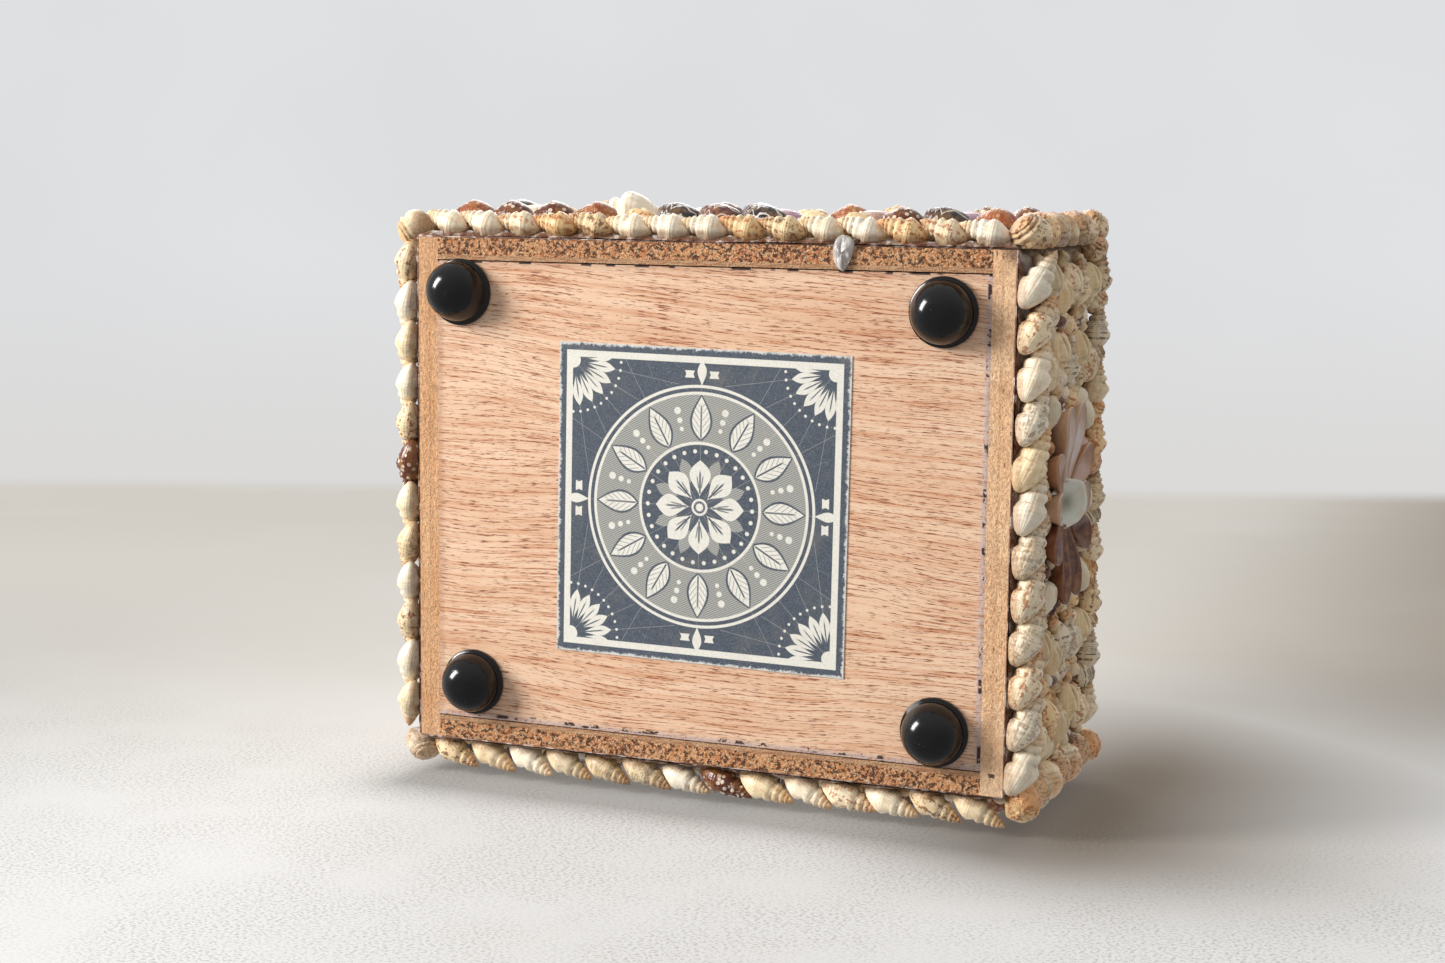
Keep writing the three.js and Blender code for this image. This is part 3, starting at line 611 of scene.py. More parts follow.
def flowerSideShells(face):
    clear = flower["long"] + flower["clear"]
    start = -face["half"] + rope["margin"] + flower["clear"]
    end = face["half"] + corner["reach"] - corner["size"] / 2
    blocks = slitBlock(start, flower["place"] - clear, 0) + slitBlock(flower["place"] + clear, end, 21)
    return edgeRope(face) + cornerColumn(face) + flowerSurround() + blocks


def lidRopeShells(face):
    first = -face["half"] + rope["margin"] + lidRope["length"] / 2
    last = face["half"] - corner["size"] / 2 - lidRope["length"] * lidRope["tuck"]
    level = carcase["height"] + carcase["lidThickness"] / 2 + lidRope["rise"]
    whelks = line(first, last, lidRope["pitch"], lambda a, i: shell(
        "whelk", pick(lidRopeLooks, i + face["salt"]), a, level,
        lidRope["lean"] + chance("lidRopeTurn", i, 71), lidRope, ranks["lidRope"] + i))

    def snail(look, a, b, turn, across, height, n):
        return shell("snail", look, a, b, turn, {"length": across, "girth": across, "height": height}, n)

    small = (lidRope["between"], lidRope["height"] - 1)
    between = [snail(pick(lidRopeLooks, i * 2 + 1), s["a"] + lidRope["pitch"] / 2, level + 0.8 * (-1) ** i,
                     90 * scatter(i, 12), *small, ranks["lidBetween"] + i) for i, s in enumerate(whelks[:-1])]
    start = snail("brownMarked", rope["margin"] - face["half"], level - 1, 20, *small, ranks["lidStart"])
    end = snail(pick(cornerLooks, face["salt"]), face["half"] + corner["reach"], level, 60, lidRope["corner"],
                corner["height"], ranks["lidCorner"])
    return whelks + between + [start, end]


def border(inset, pitch, make):  # shells round the lid, each side from its first corner on
    x, y = longHalf - inset, shortHalf - inset
    runs = [(-x, -y, 1, 0, 2 * x), (x, -y, 0, 1, 2 * y), (x, y, -1, 0, 2 * x), (-x, y, 0, -1, 2 * y)]
    shells = []
    for side, (a, b, da, db, length) in enumerate(runs):
        count = math.floor(length / pitch + 0.5)
        for i in range(count):
            place = (a + da * length * i / count, b + db * length * i / count)
            shells.append(make(*place, 90 * side + 90, i, side))
    return shells


def lidShells():
    def rowShell(a, b, turn, i, side):
        style, names = ("snail", cornerLooks) if i % 2 else ("slit", slitLooks)
        return shell(style, pick(names, i + 2 * side), a, b, turn + chance("lidRowTurn", i, 51),
                     {**fill, "girth": fill["girth"] + 1}, ranks["lidRow"] + 16 * side + i)

    def fanShell(a, b, turn, i, side):
        style, look = "cockle" if i % 2 else "fan", pick(valveLooks, i + side)
        turn = turn + chance("lidFanTurn", i, 61)
        return shell(style, look, a, b, turn, lidFan, ranks["lidFan"] + 16 * side + i)

    shells = border(lidRows["inset"], lidRows["pitch"], rowShell)
    shells += border(lidRows["innerInset"], lidFan["girth"] + 1, fanShell)
    place = longHalf - lidRows["innerInset"] - (lidFan["length"] + fill["girth"]) / 2 - slit["gap"]
    reach = shortHalf - lidRows["innerInset"] - (lidFan["length"] + fill["length"]) / 2
    for side in (-1, 1):
        shells += line(-reach, reach, fill["length"], lambda b, i: shell(
            "slit", pick(slitLooks, i + side), side * place, b,
            90 * side + chance("lidSideTurn", i, 66 + side), fill, ranks["lidSide"] + 8 * side + i))
    return shells


def lidPetals():
    shells = []
    middle = lidFlower["inner"] + lidFlower["length"] / 2
    for i in range(lidFlower["petals"]):
        angle = 2 * math.pi * i / lidFlower["petals"]
        shells.append(shell("petal", pick(["petalRose", "petalPale"], i), middle * math.cos(angle),
                            middle * math.sin(angle), math.degrees(angle), lidFlower, ranks["lidPetal"] + i,
                            level=bed["thickness"]))
    return shells


# Small shells pressed into the gaps between the rows
filler = {"step": 2.6, "size": 5.2, "vary": 1.2, "height": 3.1, "keep": 3.5, "fineness": 0.55,
          "clear": (0.5, 0.3)}
fillerStyles = ["snail", "whelk", "snail", "dove", "fan", "whelk"]
fillerLooks = ["brownMarked", "cream", "tanMarked", "white", "grey", "banded", "ivory", "orangeMarked",
               "dotted"]


def gaps(shells, bounds):
    low, high = np.array(bounds[:2]), np.array(bounds[2:])
    spots = np.array([(s["a"], s["b"]) for s in shells])
    turns = np.radians([s["turn"] for s in shells])
    halves = np.array([(s["length"] / 2, s["girth"] / 2) for s in shells]) + filler["clear"]
    counts = ((high - low) / filler["step"]).astype(int) + 1
    kept = []
    for n in range(counts[0] * counts[1]):
        i, j = divmod(n, counts[1])
        shift = loose["fillerSpot"] * np.array((scatter(n, 3), scatter(n, 8)))
        spot = low + filler["step"] * (np.array((i, j)) + shift)
        if (spot < low).any() or (spot > high).any():
            continue
        away = spot - spots
        x = away[:, 0] * np.cos(turns) + away[:, 1] * np.sin(turns)
        y = -away[:, 0] * np.sin(turns) + away[:, 1] * np.cos(turns)
        inside = (x / halves[:, 0]) ** 2 + (y / halves[:, 1]) ** 2 < 1
        if not inside.any() and all(np.hypot(*(spot - other)) >= filler["keep"] for other in kept):
            kept.append(spot)
    return kept


def fillers(shells, bounds):
    made = []
    for k, spot in enumerate(gaps(shells, bounds)):
        across = filler["size"] + filler["vary"] * scatter(k, 5)
        style = pick(fillerStyles, int(3 + 3 * scatter(k, 6)))
        size = {"length": across * (1.0 if style == "snail" else 1.25), "girth": across * 0.85,
                "height": filler["height"] + chance("fillerHeight", k, 2)}
        made.append(shell(style, pick(fillerLooks, int(40 + 40 * scatter(k, 9))), spot[0], spot[1],
                          chance("fillerTurn", k, 4), size, ranks["filler"] + k,
                          fineness=filler["fineness"]))
    return made


def addBed(heap, face, low, high):
    steps = [max(3, int((high[k] - low[k]) / bed["step"])) for k in (0, 1)]
    a = np.linspace(low[0], high[0], steps[0])
    b = np.linspace(low[1], high[1], steps[1])
    B, A = np.meshgrid(b, a, indexing="ij")
    noise = sum(np.sin(A * f + face["salt"] + 1.7 * f) * np.cos(B * g + 2.3 * g) / k
                for k, (f, g) in enumerate([(0.55, 0.7), (1.3, 0.9), (2.1, 2.6), (3.3, 2.9)], 1))
    edge = np.minimum(np.minimum(A - low[0], high[0] - A), np.minimum(B - low[1], high[1] - B))
    top = bed["thickness"] - 0.5 + bed["lump"] * noise * 0.6 - 1.1 * (1 - ease(edge, 0, 2.4))
    under = np.full_like(top, 0.05)
    x, y = np.concatenate([A, A[:, ::-1]], 1), np.concatenate([B, B], 1)
    z = np.concatenate([np.maximum(top, 0.4), under], 1)
    middle = (low[0] + high[0]) / 2
    places = withPoles((middle, low[1], 0.2), x, y, z, (middle, high[1], 0.2))
    places = places @ face["basis"].T + face["origin"]
    pour(heap, places, poleFaces(len(b), x.shape[1]), looks["grey"], np.zeros((len(places), 4)), slot=1)


# Materials, built from small helpers
def newMaterial(name, roughness, **values):
    material = bpy.data.materials.new(name)
    material.use_nodes = True
    tree = material.node_tree
    shader = tree.nodes["Principled BSDF"]
    shader.inputs["Roughness"].default_value = roughness
    for key, value in values.items():
        shader.inputs[key.replace("_", " ")].default_value = value
    return material, tree, shader


def feed(socket, value):  # links a field to a socket, or sets the socket's constant
    if isinstance(value, Field):
        value.tree.links.new(value.socket, socket)
    else:
        socket.default_value = value


def mathStep(operation):  # a method that adds one step of arithmetic
    return lambda field, *others: field.do(operation, *others)


class Field:  # a number or colour that varies over a surface
    def __init__(self, tree, socket):
        self.tree, self.socket = tree, socket

    def do(self, operation, *others):
        node = self.tree.nodes.new("ShaderNodeMath")
        node.operation = operation
        for socket, value in zip(node.inputs, (self, *others)):
            feed(socket, value)
        return Field(self.tree, node.outputs[0])

    __add__ = __radd__ = mathStep("ADD")
    __sub__ = mathStep("SUBTRACT")
    __mul__ = mathStep("MULTIPLY")
    __truediv__ = mathStep("DIVIDE")
    __abs__ = mathStep("ABSOLUTE")
    least = mathStep("MINIMUM")
    most = mathStep("MAXIMUM")
    sine = mathStep("SINE")
    cosine = mathStep("COSINE")
    fraction = mathStep("FRACT")
    power = mathStep("POWER")
    angleFrom = mathStep("ARCTAN2")

    def __rsub__(self, other):
        return self * -1 + other

    def step(self, low, high):  # 0 at low, 1 at high, smooth between
        node = self.tree.nodes.new("ShaderNodeMapRange")
        node.interpolation_type = "SMOOTHSTEP"
        ends = (low, high, 0, 1) if low <= high else (high, low, 1, 0)
        for socket, value in zip(node.inputs, (self, *ends)):
            feed(socket, value)
        return Field(self.tree, node.outputs[0])

def apart(field, kind):  # the three numbers of a vector or a colour
    node = field.tree.nodes.new(kind)
    feed(node.inputs[0], field)
    return [Field(field.tree, node.outputs[i]) for i in range(3)]


def placeFields(tree, turn=0.0):  # position on the object, in millimetres
    place = Field(tree, tree.nodes.new("ShaderNodeTexCoord").outputs["Object"])
    mapping = tree.nodes.new("ShaderNodeMapping")
    for key, value in {"Vector": place, "Scale": (1 / mm,) * 3, "Rotation": (0, 0, turn)}.items():
        feed(mapping.inputs[key], value)
    return apart(Field(tree, mapping.outputs[0]), "ShaderNodeSeparateXYZ")


def at(x, y, z):  # a place to read a pattern at
    node = x.tree.nodes.new("ShaderNodeCombineXYZ")
    for socket, value in zip(node.inputs, (x, y, z)):
        feed(socket, value)
    return Field(x.tree, node.outputs[0])


def noise(place, scale, detail=2.0, rough=0.5):
    node = place.tree.nodes.new("ShaderNodeTexNoise")
    for key, value in {"Vector": place, "Scale": scale, "Detail": detail, "Roughness": rough}.items():
        feed(node.inputs[key], value)
    return Field(place.tree, node.outputs[0])


def cells(place, scale):  # distance to the nearest of many scattered points
    node = place.tree.nodes.new("ShaderNodeTexVoronoi")
    feed(node.inputs["Vector"], place)
    feed(node.inputs["Scale"], scale)
    return Field(place.tree, node.outputs["Distance"])


def blend(share, first, second):  # a tuple is an sRGB colour, a list a linear one
    node = share.tree.nodes.new("ShaderNodeMix")
    node.data_type = "RGBA"
    colours = [s for s in node.inputs if s.type == "RGBA"]
    feed(node.inputs[0], share)
    for socket, value in zip(colours, (first, second)):
        if isinstance(value, (tuple, list)):
            value = (*(tone(*value) if isinstance(value, tuple) else value), 1)
        feed(socket, value)
    return Field(share.tree, next(s for s in node.outputs if s.type == "RGBA"))


def addBump(shader, height, distance, strength):
    node = height.tree.nodes.new("ShaderNodeBump")
    for key, value in {"Strength": strength, "Distance": distance * mm, "Height": height}.items():
        feed(node.inputs[key], value)
    height.tree.links.new(node.outputs[0], shader.inputs["Normal"])


def shellMaterial(name, roughness, coat, ridges=1.0):
    material, tree, shader = newMaterial(name, roughness, Coat_Weight=coat, Coat_Roughness=0.22)
    nodes = {}
    for key in ("shellBase", "shellMark", "shellStrength", "shellSite", "shellDepth"):
        nodes[key] = tree.nodes.new("ShaderNodeAttribute")
        nodes[key].attribute_name = key

    def read(key, output):
        return Field(tree, nodes[key].outputs[output])

    whorl, turn, seed = apart(read("shellSite", "Vector"), "ShaderNodeSeparateXYZ")
    suture, rows, net = apart(read("shellStrength", "Color"), "ShaderNodeSeparateColor")
    dots, speck = read("shellStrength", "Alpha"), read("shellMark", "Alpha")
    x, y, z = placeFields(tree)
    here = at(x + seed, y + seed * 1.7, z)
    coarse, fine = noise(here, 0.45, 2), noise(here, 1.5, 3, 0.6)
    streak = (turn * 6.5 + coarse * 6).sine() * 0.05
    line = whorl.step(0.14, 0.03).most(whorl.step(0.93, 0.98)) * (fine + coarse).step(0.65, 0.95)
    blotch = noise(here, 0.9, 3, 0.6)
    speckled = (blotch * 0.6 + fine * 0.4 + streak).step(0.52, 0.58)
    dashes = (whorl * 26).sine().step(0.2, 0.75) * (fine + streak * 2).step(0.4, 0.52)
    zigzag = abs((whorl * 3.2).fraction() - 0.5)
    lines = abs((turn * 1.3 + zigzag * 1.5 + coarse * 0.9).fraction() - 0.5).step(0.12, 0.06)
    spots = cells(here, 0.62).step(0.36, 0.26)
    # painted shade: an always-on dark line in the sutures between the whorls
    sutureShade = whorl.step(0.1, 0.0).most(whorl.step(0.95, 1.0)) * 0.65
    share = (line.most(sutureShade) * suture).most(speckled * speck).most(dashes * rows)
    share = share.most(lines * net).most(spots * dots)
    colour = blend(share * 0.9, read("shellBase", "Color"), read("shellMark", "Color"))
    colour = blend(coarse.step(0.4, 0.75) * 0.28, colour, (214, 164, 96))
    # painted shade: the shells are darker and warmer low down, near the glue bed between them
    paintedLowShade = read("shellDepth", "Fac").step(0.42, 0.0) * (0.28 + fine * 0.5)
    colour = blend(paintedLowShade, colour, (140, 88, 34))
    feed(shader.inputs["Base Color"], colour)
    feed(shader.inputs["Roughness"], read("shellBase", "Alpha") + (fine - 0.5) * 0.25 + paintedLowShade * 0.2)
    relief = ((whorl * 52).sine() * 0.18 + (turn * 26).sine() * 0.12) * ridges + fine * 0.7
    addBump(shader, relief, 0.16, 0.75)
    return material


def bedMaterial():
    material, tree, shader = newMaterial("glueBed", 0.4, Coat_Weight=0.3)
    x, y, z = placeFields(tree)
    here = at(x, y, z)
    broad, fine = noise(here, 0.35, 3), noise(here, 1.8, 3)
    colour = blend(broad.step(0.35, 0.65), (104, 82, 64), (156, 132, 106))
    colour = blend(fine.step(0.55, 0.75) * 0.5, colour, (186, 176, 170))
    # painted shade: a dark reddish-brown strip along the bed's bottom edge by the board, with whitish glue
    # bits in it
    shadedHem = (z - carcase["bottom"]).step(2.4, 0.6)
    colour = blend(shadedHem * 0.9, colour, (112, 66, 44))
    colour = blend(shadedHem * broad.step(0.5, 0.62), colour, (196, 176, 164))
    feed(shader.inputs["Base Color"], colour)
    addBump(shader, fine + broad, 0.4, 0.8)
    return material


shellPaint = shellMaterial("shellPaint", 0.42, 0.12)
pearlPaint = shellMaterial("pearlPaint", 0.2, 0.5, 0.2)
gluePaint = bedMaterial()
print("shell materials made")


def shellPiece(name, face, shells, bedSpan, fillSpan):
    heap = newHeap()
    addBed(heap, face, *bedSpan)
    for s in shells + fillers(shells + singles.get(face["name"], []), fillSpan):
        addShell(heap, face, s)
    makePiece(name, heap, [shellPaint, gluePaint])


def singlePiece(name, face, s, material):
    heap = newHeap()
    addShell(heap, face, s)
    makePiece(name, heap, [material])


frontValves = [v for v in valveRow(frontFace) if v["style"] == "fan"]
bigWhelks = {face["name"]: valveRow(face)[bigWhelk["rank"]] for face in (frontFace, backFace)}
rightPetals = flowerPetals()
chipShell = shell("chip", "pearl", flower["place"], flower["level"], chip["turn"], chip, ranks["chip"],
                  level=bed["thickness"], lift=chip["lift"])
bossShell = shell("top", "pearl", 0, 0, 0, boss, ranks["boss"], level=bed["thickness"])
singles = {  # these keep the small shells in the gaps away
    "front": frontValves + [bigWhelks["front"]],
    "back": [bigWhelks["back"]],
    "right": rightPetals + [chipShell],
    "lid_top": lidPetals() + [{**bossShell, "length": boss["girth"]}],
}

rowed = {frontFace["name"]: rowedShells(frontFace, False), backFace["name"]: rowedShells(backFace, True),
         leftFace["name"]: rowedShells(leftFace, True), rightFace["name"]: flowerSideShells(rightFace)}
for face in (frontFace, backFace, leftFace, rightFace):
    half = face["half"]
    shellPiece(f"shells_{face['name']}", face, rowed[face["name"]], ((-half, 0), (half, fieldTop)),
               (-half + 2, 2.5, half, fieldTop - 2.5))
for face in sides:
    half, level = face["half"], carcase["height"] + carcase["lidThickness"] / 2
    span = ((-half, carcase["height"] + bed["lidInset"]), (half, carcase["height"] + carcase["lidThickness"]))
    shellPiece(f"shells_lid_{face['name']}", face, lidRopeShells(face), span,
               (-half + 1, level - 2, half, level + 3))
shellPiece("shells_lid_top", lidFace, lidShells(), ((-longHalf, -shortHalf), (longHalf, shortHalf)),
           (-longHalf + 2, -shortHalf + 2, longHalf - 2, shortHalf - 2))
print("shellwork made")

for i, s in enumerate(frontValves):
    singlePiece(f"clam_valve_front_{i + 1}", frontFace, s, shellPaint)
for face in (frontFace, backFace):
    singlePiece(f"big_whelk_{face['name']}", face, bigWhelks[face["name"]], shellPaint)
for i, s in enumerate(rightPetals):
    singlePiece(f"petal_right_{i + 1}", rightFace, s, pearlPaint)
singlePiece("nacre_chip_right", rightFace, chipShell, pearlPaint)
for i, s in enumerate(lidPetals()):
    singlePiece(f"petal_lid_{i + 1}", lidFace, s, pearlPaint)
singlePiece("flower_boss_lid", lidFace, bossShell, pearlPaint)
print("single shells made")


# Feet: turned black domes with a rim
foot = {"rim": 8.1, "rimThickness": 1.5, "dome": 7.3, "tip": 0.96, "sides": 96, "steps": 22,
        "crooked": (-0.55, -0.45)}
footRim = [(-0.78, 0.15), (-0.55, 0.32), (-0.3, 0.36), (-0.06, 0.5), (0, 0.8)]  # from the rim and the dome on


def footMaterial():
    material, tree, shader = newMaterial("blackGloss", 0.16, Specular_IOR_Level=0.42)
    x, y, z = placeFields(tree)
    here = at(x, y, z)
    dust = cells(here, 1.1).step(0.12, 0.05) * noise(here, 0.2, 1).step(0.5, 0.6)
    scuff = noise(at(x * 2, y * 0.3, z), 1.2, 3).step(0.62, 0.75) * 0.25
    feed(shader.inputs["Base Color"], blend(dust * 0.5 + scuff * 0.15, (8, 8, 10), (120, 118, 116)))
    feed(shader.inputs["Roughness"], 0.15 + scuff * 0.5 + dust * 0.3)
    return material


def footPiece(name, shift, material):
    low, high = boxOf(name)
    height, rise = high[2], high[2] - foot["rimThickness"]
    angles = np.linspace(0.02, math.pi / 2, foot["steps"])
    rims = np.array(footRim)
    dome = foot["tip"] + (foot["dome"] - foot["tip"]) * np.sin(angles)
    radius = np.concatenate([dome, foot["rim"] + rims[:, 0], [foot["rim"] - 0.05]])
    level = np.concatenate([rise * (1 - np.cos(angles)), rise + rims[:, 1], [height - 0.04]])
    around = np.linspace(0, 2 * math.pi, foot["sides"], endpoint=False)
    lean = ease(height - level, 0, rise * 0.7)[:, None]
    x = np.outer(radius, np.cos(around)) + shift[0] * lean
    y = np.outer(radius, np.sin(around)) + shift[1] * lean
    places = withPoles((*shift, 0), x, y, np.repeat(level[:, None], foot["sides"], 1), (0, 0, height - 0.02))
    places[:, :2] += (low + high)[:2] / 2
    heap = newHeap()
    pour(heap, places, poleFaces(len(radius), foot["sides"]), looks["grey"], np.zeros((len(places), 4)))
    makePiece(name, heap, [material])


footPaint = footMaterial()
for name in ("foot_front_left", "foot_front_right", "foot_back_left", "foot_back_right"):
    footPiece(name, foot["crooked"] if name == "foot_front_left" else (0, 0), footPaint)


# Run of clear glue over the front edge of the underside
drip = {"length": 8.4, "width": 5.0, "thick": 1.5, "overhang": 2.6, "rings": 14, "columns": 44, "off": 0.01}


def dripMaterial():
    clear = {"Transmission_Weight": 0.35, "IOR": 1.4, "Coat_Weight": 0.5}
    material, tree, shader = newMaterial("clearGlue", 0.14, **clear)
    x, y, z = placeFields(tree)
    milky = noise(at(x * 2.2, y * 0.5, z), 0.8, 3)
    feed(shader.inputs["Base Color"], blend(milky.step(0.3, 0.7), (196, 186, 178), (238, 234, 230)))
    addBump(shader, milky, 0.5, 0.8)
    return material


def dripPiece():
    low, high = boxOf("glue_drip")
    bottom, middle = carcase["bottom"], (low[0] + high[0]) / 2
    start, half = -shortHalf - drip["overhang"], drip["length"] / 2
    around = np.linspace(0, 2 * math.pi, drip["columns"], endpoint=False)
    R, A = np.meshgrid(np.linspace(0, 1, drip["rings"] + 1)[1:], around, indexing="ij")
    along, across = np.cos(A), np.sin(A) * (1 - 0.3 * np.cos(A) - 0.12 * np.sin(2 * A))
    sag = 1 + 0.25 * np.sin(3.1 * A + 2 * R) * R * (1 - R) * 4 + 0.2 * R * along
    z = bottom - drip["thick"] * np.sqrt(np.clip(1 - R ** 2.4, 0, 1)) * sag
    x, y = middle + R * across * drip["width"] / 2, start + half * (1 + R * along)
    z = np.minimum(z, bottom - drip["off"])
    places = withPoles((middle, start + half, bottom - drip["thick"]), x, y, z,
                       (middle, start + half, bottom - drip["off"]))
    faces = poleFaces(drip["rings"], drip["columns"], True)
    heap = newHeap()
    pour(heap, places, faces, looks["grey"], np.zeros((len(places), 4)))
    makePiece("glue_drip", heap, [dripMaterial()])


dripPiece()
print("feet and glue run made")


def dress(node, material):
    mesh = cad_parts[node].data
    mesh.materials.clear()
    mesh.materials.append(material)


# Wood: granular board edges, smoother side boards, veneered panel
boardTones = {
    "side": {"base": (249, 206, 164), "shade": (238, 184, 136), "light": (252, 222, 184),
             "pit": (124, 66, 36)},
    "end": {"base": (246, 170, 108), "shade": (224, 140, 84), "light": (255, 222, 178), "pit": (72, 31, 13)},
}


smear = {"x": 72.4, "y": 57.2, "wide": 1.0, "long": 0.55}  # a dark smear on a board's end


def boardMaterial(name, grit, alongY, veneer=False):
    tones = boardTones["end" if veneer else "side"]
    material, tree, shader = newMaterial(name, 0.8)
    x, y, z = placeFields(tree)
    here = at(x, y, z)
    broad = noise(here, 0.09, 3)
    stretch = at(x * (1 if alongY else 0.5), y * (0.35 if alongY else 1), z * 0.35)
    fibre, grain = noise(stretch, 1.4, 4, 0.65), noise(here, 2.3, 3, 0.7)
    colour = blend(broad.step(0.3, 0.7), tones["base"], tones["shade"])
    colour = blend(fibre.step(0.4, 0.62) * 0.4, colour, tones["shade"])
    colour = blend(grain.step(0.48, 0.6) * (0.2 + grit * 0.7), colour, tones["light"])
    chunk = noise(here, 1.1, 4, 0.72)
    pits = (grain * 0.6 + fibre * 0.5).step(0.46, 0.4) * (0.15 + 0.35 * grit)
    pits = (chunk.step(0.48, 0.43) * grit).most(pits)
    colour = blend(pits * (0.4 + 0.5 * grit), colour, tones["pit"])
    specks = cells(stretch, 0.5).step(0.14, 0.07) * broad.step(0.45, 0.55)
    colour = blend(specks * 0.7, colour, (96, 48, 26))
    if alongY:  # ply lines run along the board, and the left board is painted darker as shade
        colour = blend(x.step(0, -1) * 0.6, colour, (206, 142, 88))
        ply = noise(at(x * 0.9, y * 0.02, z * 0), 1.0, 2).step(0.45, 0.6)
        colour = blend(ply * 0.3, colour, (240, 204, 160))
        edgeLine = abs(abs(x) - longHalf + carcase["thickness"] * 0.55).step(0.5, 0.1)
        edgeLine = edgeLine * chunk.step(0.5, 0.6)
        colour = blend(edgeLine * 0.6, colour, (130, 74, 40))
    if veneer:  # a light ply at the inner face and a reddish one beside it
        inner = shortHalf - carcase["thickness"]
        line = abs(y) - inner
        ply = line.step(1.25, 1.05) * (z - carcase["bottom"]).step(1.0, 0.2)
        woody = noise(at(x * 0.3, y * 3, z), 1.1, 3)
        plyTone = blend(woody.step(0.4, 0.65), (224, 178, 136), (196, 136, 92))
        colour = blend(ply, colour, plyTone)
        pits = pits * (1 - ply)
    stain = noise(here, 0.16, 2).step(0.6, 0.75) * 0.25
    if alongY:
        smudge = (abs(x - smear["x"]) / smear["wide"]).most(abs(y - smear["y"]) / smear["long"])
        smudge = smudge + (grain - 0.5) * 1.4
        colour = blend(smudge.step(1.0, 0.6) * 0.9, colour, (34, 28, 26))
        soak = ((x - longHalf).power(2) + (y + shortHalf).power(2)).power(0.5) + (grain - 0.5) * 4
        colour = blend(soak.step(4.5, 1.5) * 0.7, colour, (88, 46, 30))
    colour = blend(stain, colour, (140, 84, 50))
    feed(shader.inputs["Base Color"], colour)
    addBump(shader, grain * (0.5 + grit) + fibre - pits * (1 + grit), 0.25 + 0.6 * grit, 0.95)
    return material


sideBoard, endBoard = boardMaterial("sideBoard", 0.25, True), boardMaterial("endBoard", 1.0, False, True)
for node, material in (("wall_left", sideBoard), ("wall_right", sideBoard), ("wall_front", endBoard),
                       ("wall_back", endBoard), ("lid_board", boardMaterial("lidBoard", 0.5, False))):
    dress(node, material)

panel = {"drift": 0.045, "seam": 2.0}


def panelMaterial():
    material, tree, shader = newMaterial("plywoodFace", 0.55)
    low, high = boxOf("bottom_panel")
    x, y, z = placeFields(tree)
    wander = noise(at(x * 0.014, y * 0.022, z), 1.0, 1)
    flow = y - x * panel["drift"] * (1 - y / 70) + wander * 9
    broad = noise(at(x * 0.012, flow * 0.09, z * 0), 1.0, 3)
    band = noise(at(x * 0.035, flow * 0.7, z * 0), 1.0, 3)
    streak = noise(at(x * 0.06, flow * 2.3, z * 0), 1.0, 2, 0.6)
    pore = noise(at(x * 0.36, flow * 4.6, z * 0 + 5), 1.0, 2, 0.55)
    hair = noise(at(x * 0.22, flow * 6.5, z * 0), 1.0, 2)
    colour = blend(broad.step(0.3, 0.7), (237, 203, 172), (225, 183, 149))
    colour = blend(band.step(0.42, 0.7) * 0.55, colour, (212, 158, 120))
    colour = blend(hair.step(0.45, 0.75) * 0.35, colour, (206, 152, 116))
    lines = (streak * 0.75 + band * 0.35).step(0.54, 0.68)
    colour = blend(lines * 0.62, colour, (194, 122, 78))
    dashes = (pore * 0.7 + streak * 0.45).step(0.63, 0.69)
    colour = blend(dashes * 0.88, colour, (136, 68, 40))
    lights = (hair * 0.6 + pore * 0.5).step(0.46, 0.38)
    colour = blend(lights * 0.35, colour, (247, 220, 192))
    mottled = noise(at(x, y, z), 1.2, 3)
    gap = (high[0] - abs(x)).least(high[1] - abs(y))  # distance to the nearest edge
    frontGap, sideGap = y - low[1], high[0] - x
    crack = frontGap.step(0.5, 0.3) * noise(at(x * 0.16, 0.0, 0.0), 1.0, 1).step(0.5, 0.55)
    glue = sideGap.step(panel["seam"], 0.5).most((high[1] - y).step(panel["seam"] * 0.8, 0.3))
    glue = glue * mottled.step(0.36, 0.5)
    colour = blend(glue * 0.85, colour, (206, 192, 190))
    along = noise(at(x * 0.2, y * 0.2, 0.0), 1.0, 3)
    holes = (high[1] - y).least(sideGap + 0.3)
    splits = holes.step(1.4, 1.0) * holes.step(0.2, 0.5) * (along + (mottled - 0.5) * 0.3).step(0.56, 0.6)
    crack = crack.most(splits)
    colour = blend((gap + (mottled - 0.5) * 1.6).step(2.2, 0.2) * 0.35, colour, (150, 98, 66))
    chips = (high[1] - y + (mottled - 0.5) * 2).step(2.6, 0.6)
    chips = chips * cells(at(x * 0.3, y, z), 0.55).step(0.2, 0.12)
    colour = blend(chips.most(crack), colour, (52, 28, 20))
    feed(shader.inputs["Base Color"], colour)
    feed(shader.inputs["Roughness"], 0.5 + (hair - 0.5) * 0.3 + glue * 0.1)
    addBump(shader, hair * 0.3 - dashes * 0.5 - chips * 2 - crack * 2 + glue * 0.8, 0.14, 0.7)
    return material


dress("bottom_panel", panelMaterial())
print("wood dressed")

# Paper label: slate ground, pale border, a rosette in a ring of leaves and a fan in each corner
label = {
    "half": (36.9, 37.55), "turn": 0.65, "borderInset": 1.9, "border": 1.6, "edge": 0.09,
    "rosette": {"count": 8, "start": 2.6, "end": 11.2, "width": 2.7},
    "behind": {"start": 6.0, "end": 12.2, "width": 1.5},
    "beads": {"count": 30, "radius": 13.3, "size": 0.5},
    "ring": {"inner": 15.2, "outer": 27.0, "line": 0.35},
    "leaves": {"count": 12, "start": 16.2, "end": 26.2, "width": 2.3},
    "rims": {"start": 15.7, "end": 26.8, "width": 2.85},
    "sprigs": {"count": 12, "radius": 23.4, "size": 0.85, "steps": ((1.0, 1.0), (0.9, 0.8), (0.81, 0.62))},
    "fan": {"place": 33.2, "count": 20, "start": 3.0, "end": 11.0, "width": 1.25, "beads": 12.4,
            "bead": 0.34},
    "stalk": {"start": 28.6, "end": 34.6, "width": 1.15},
}


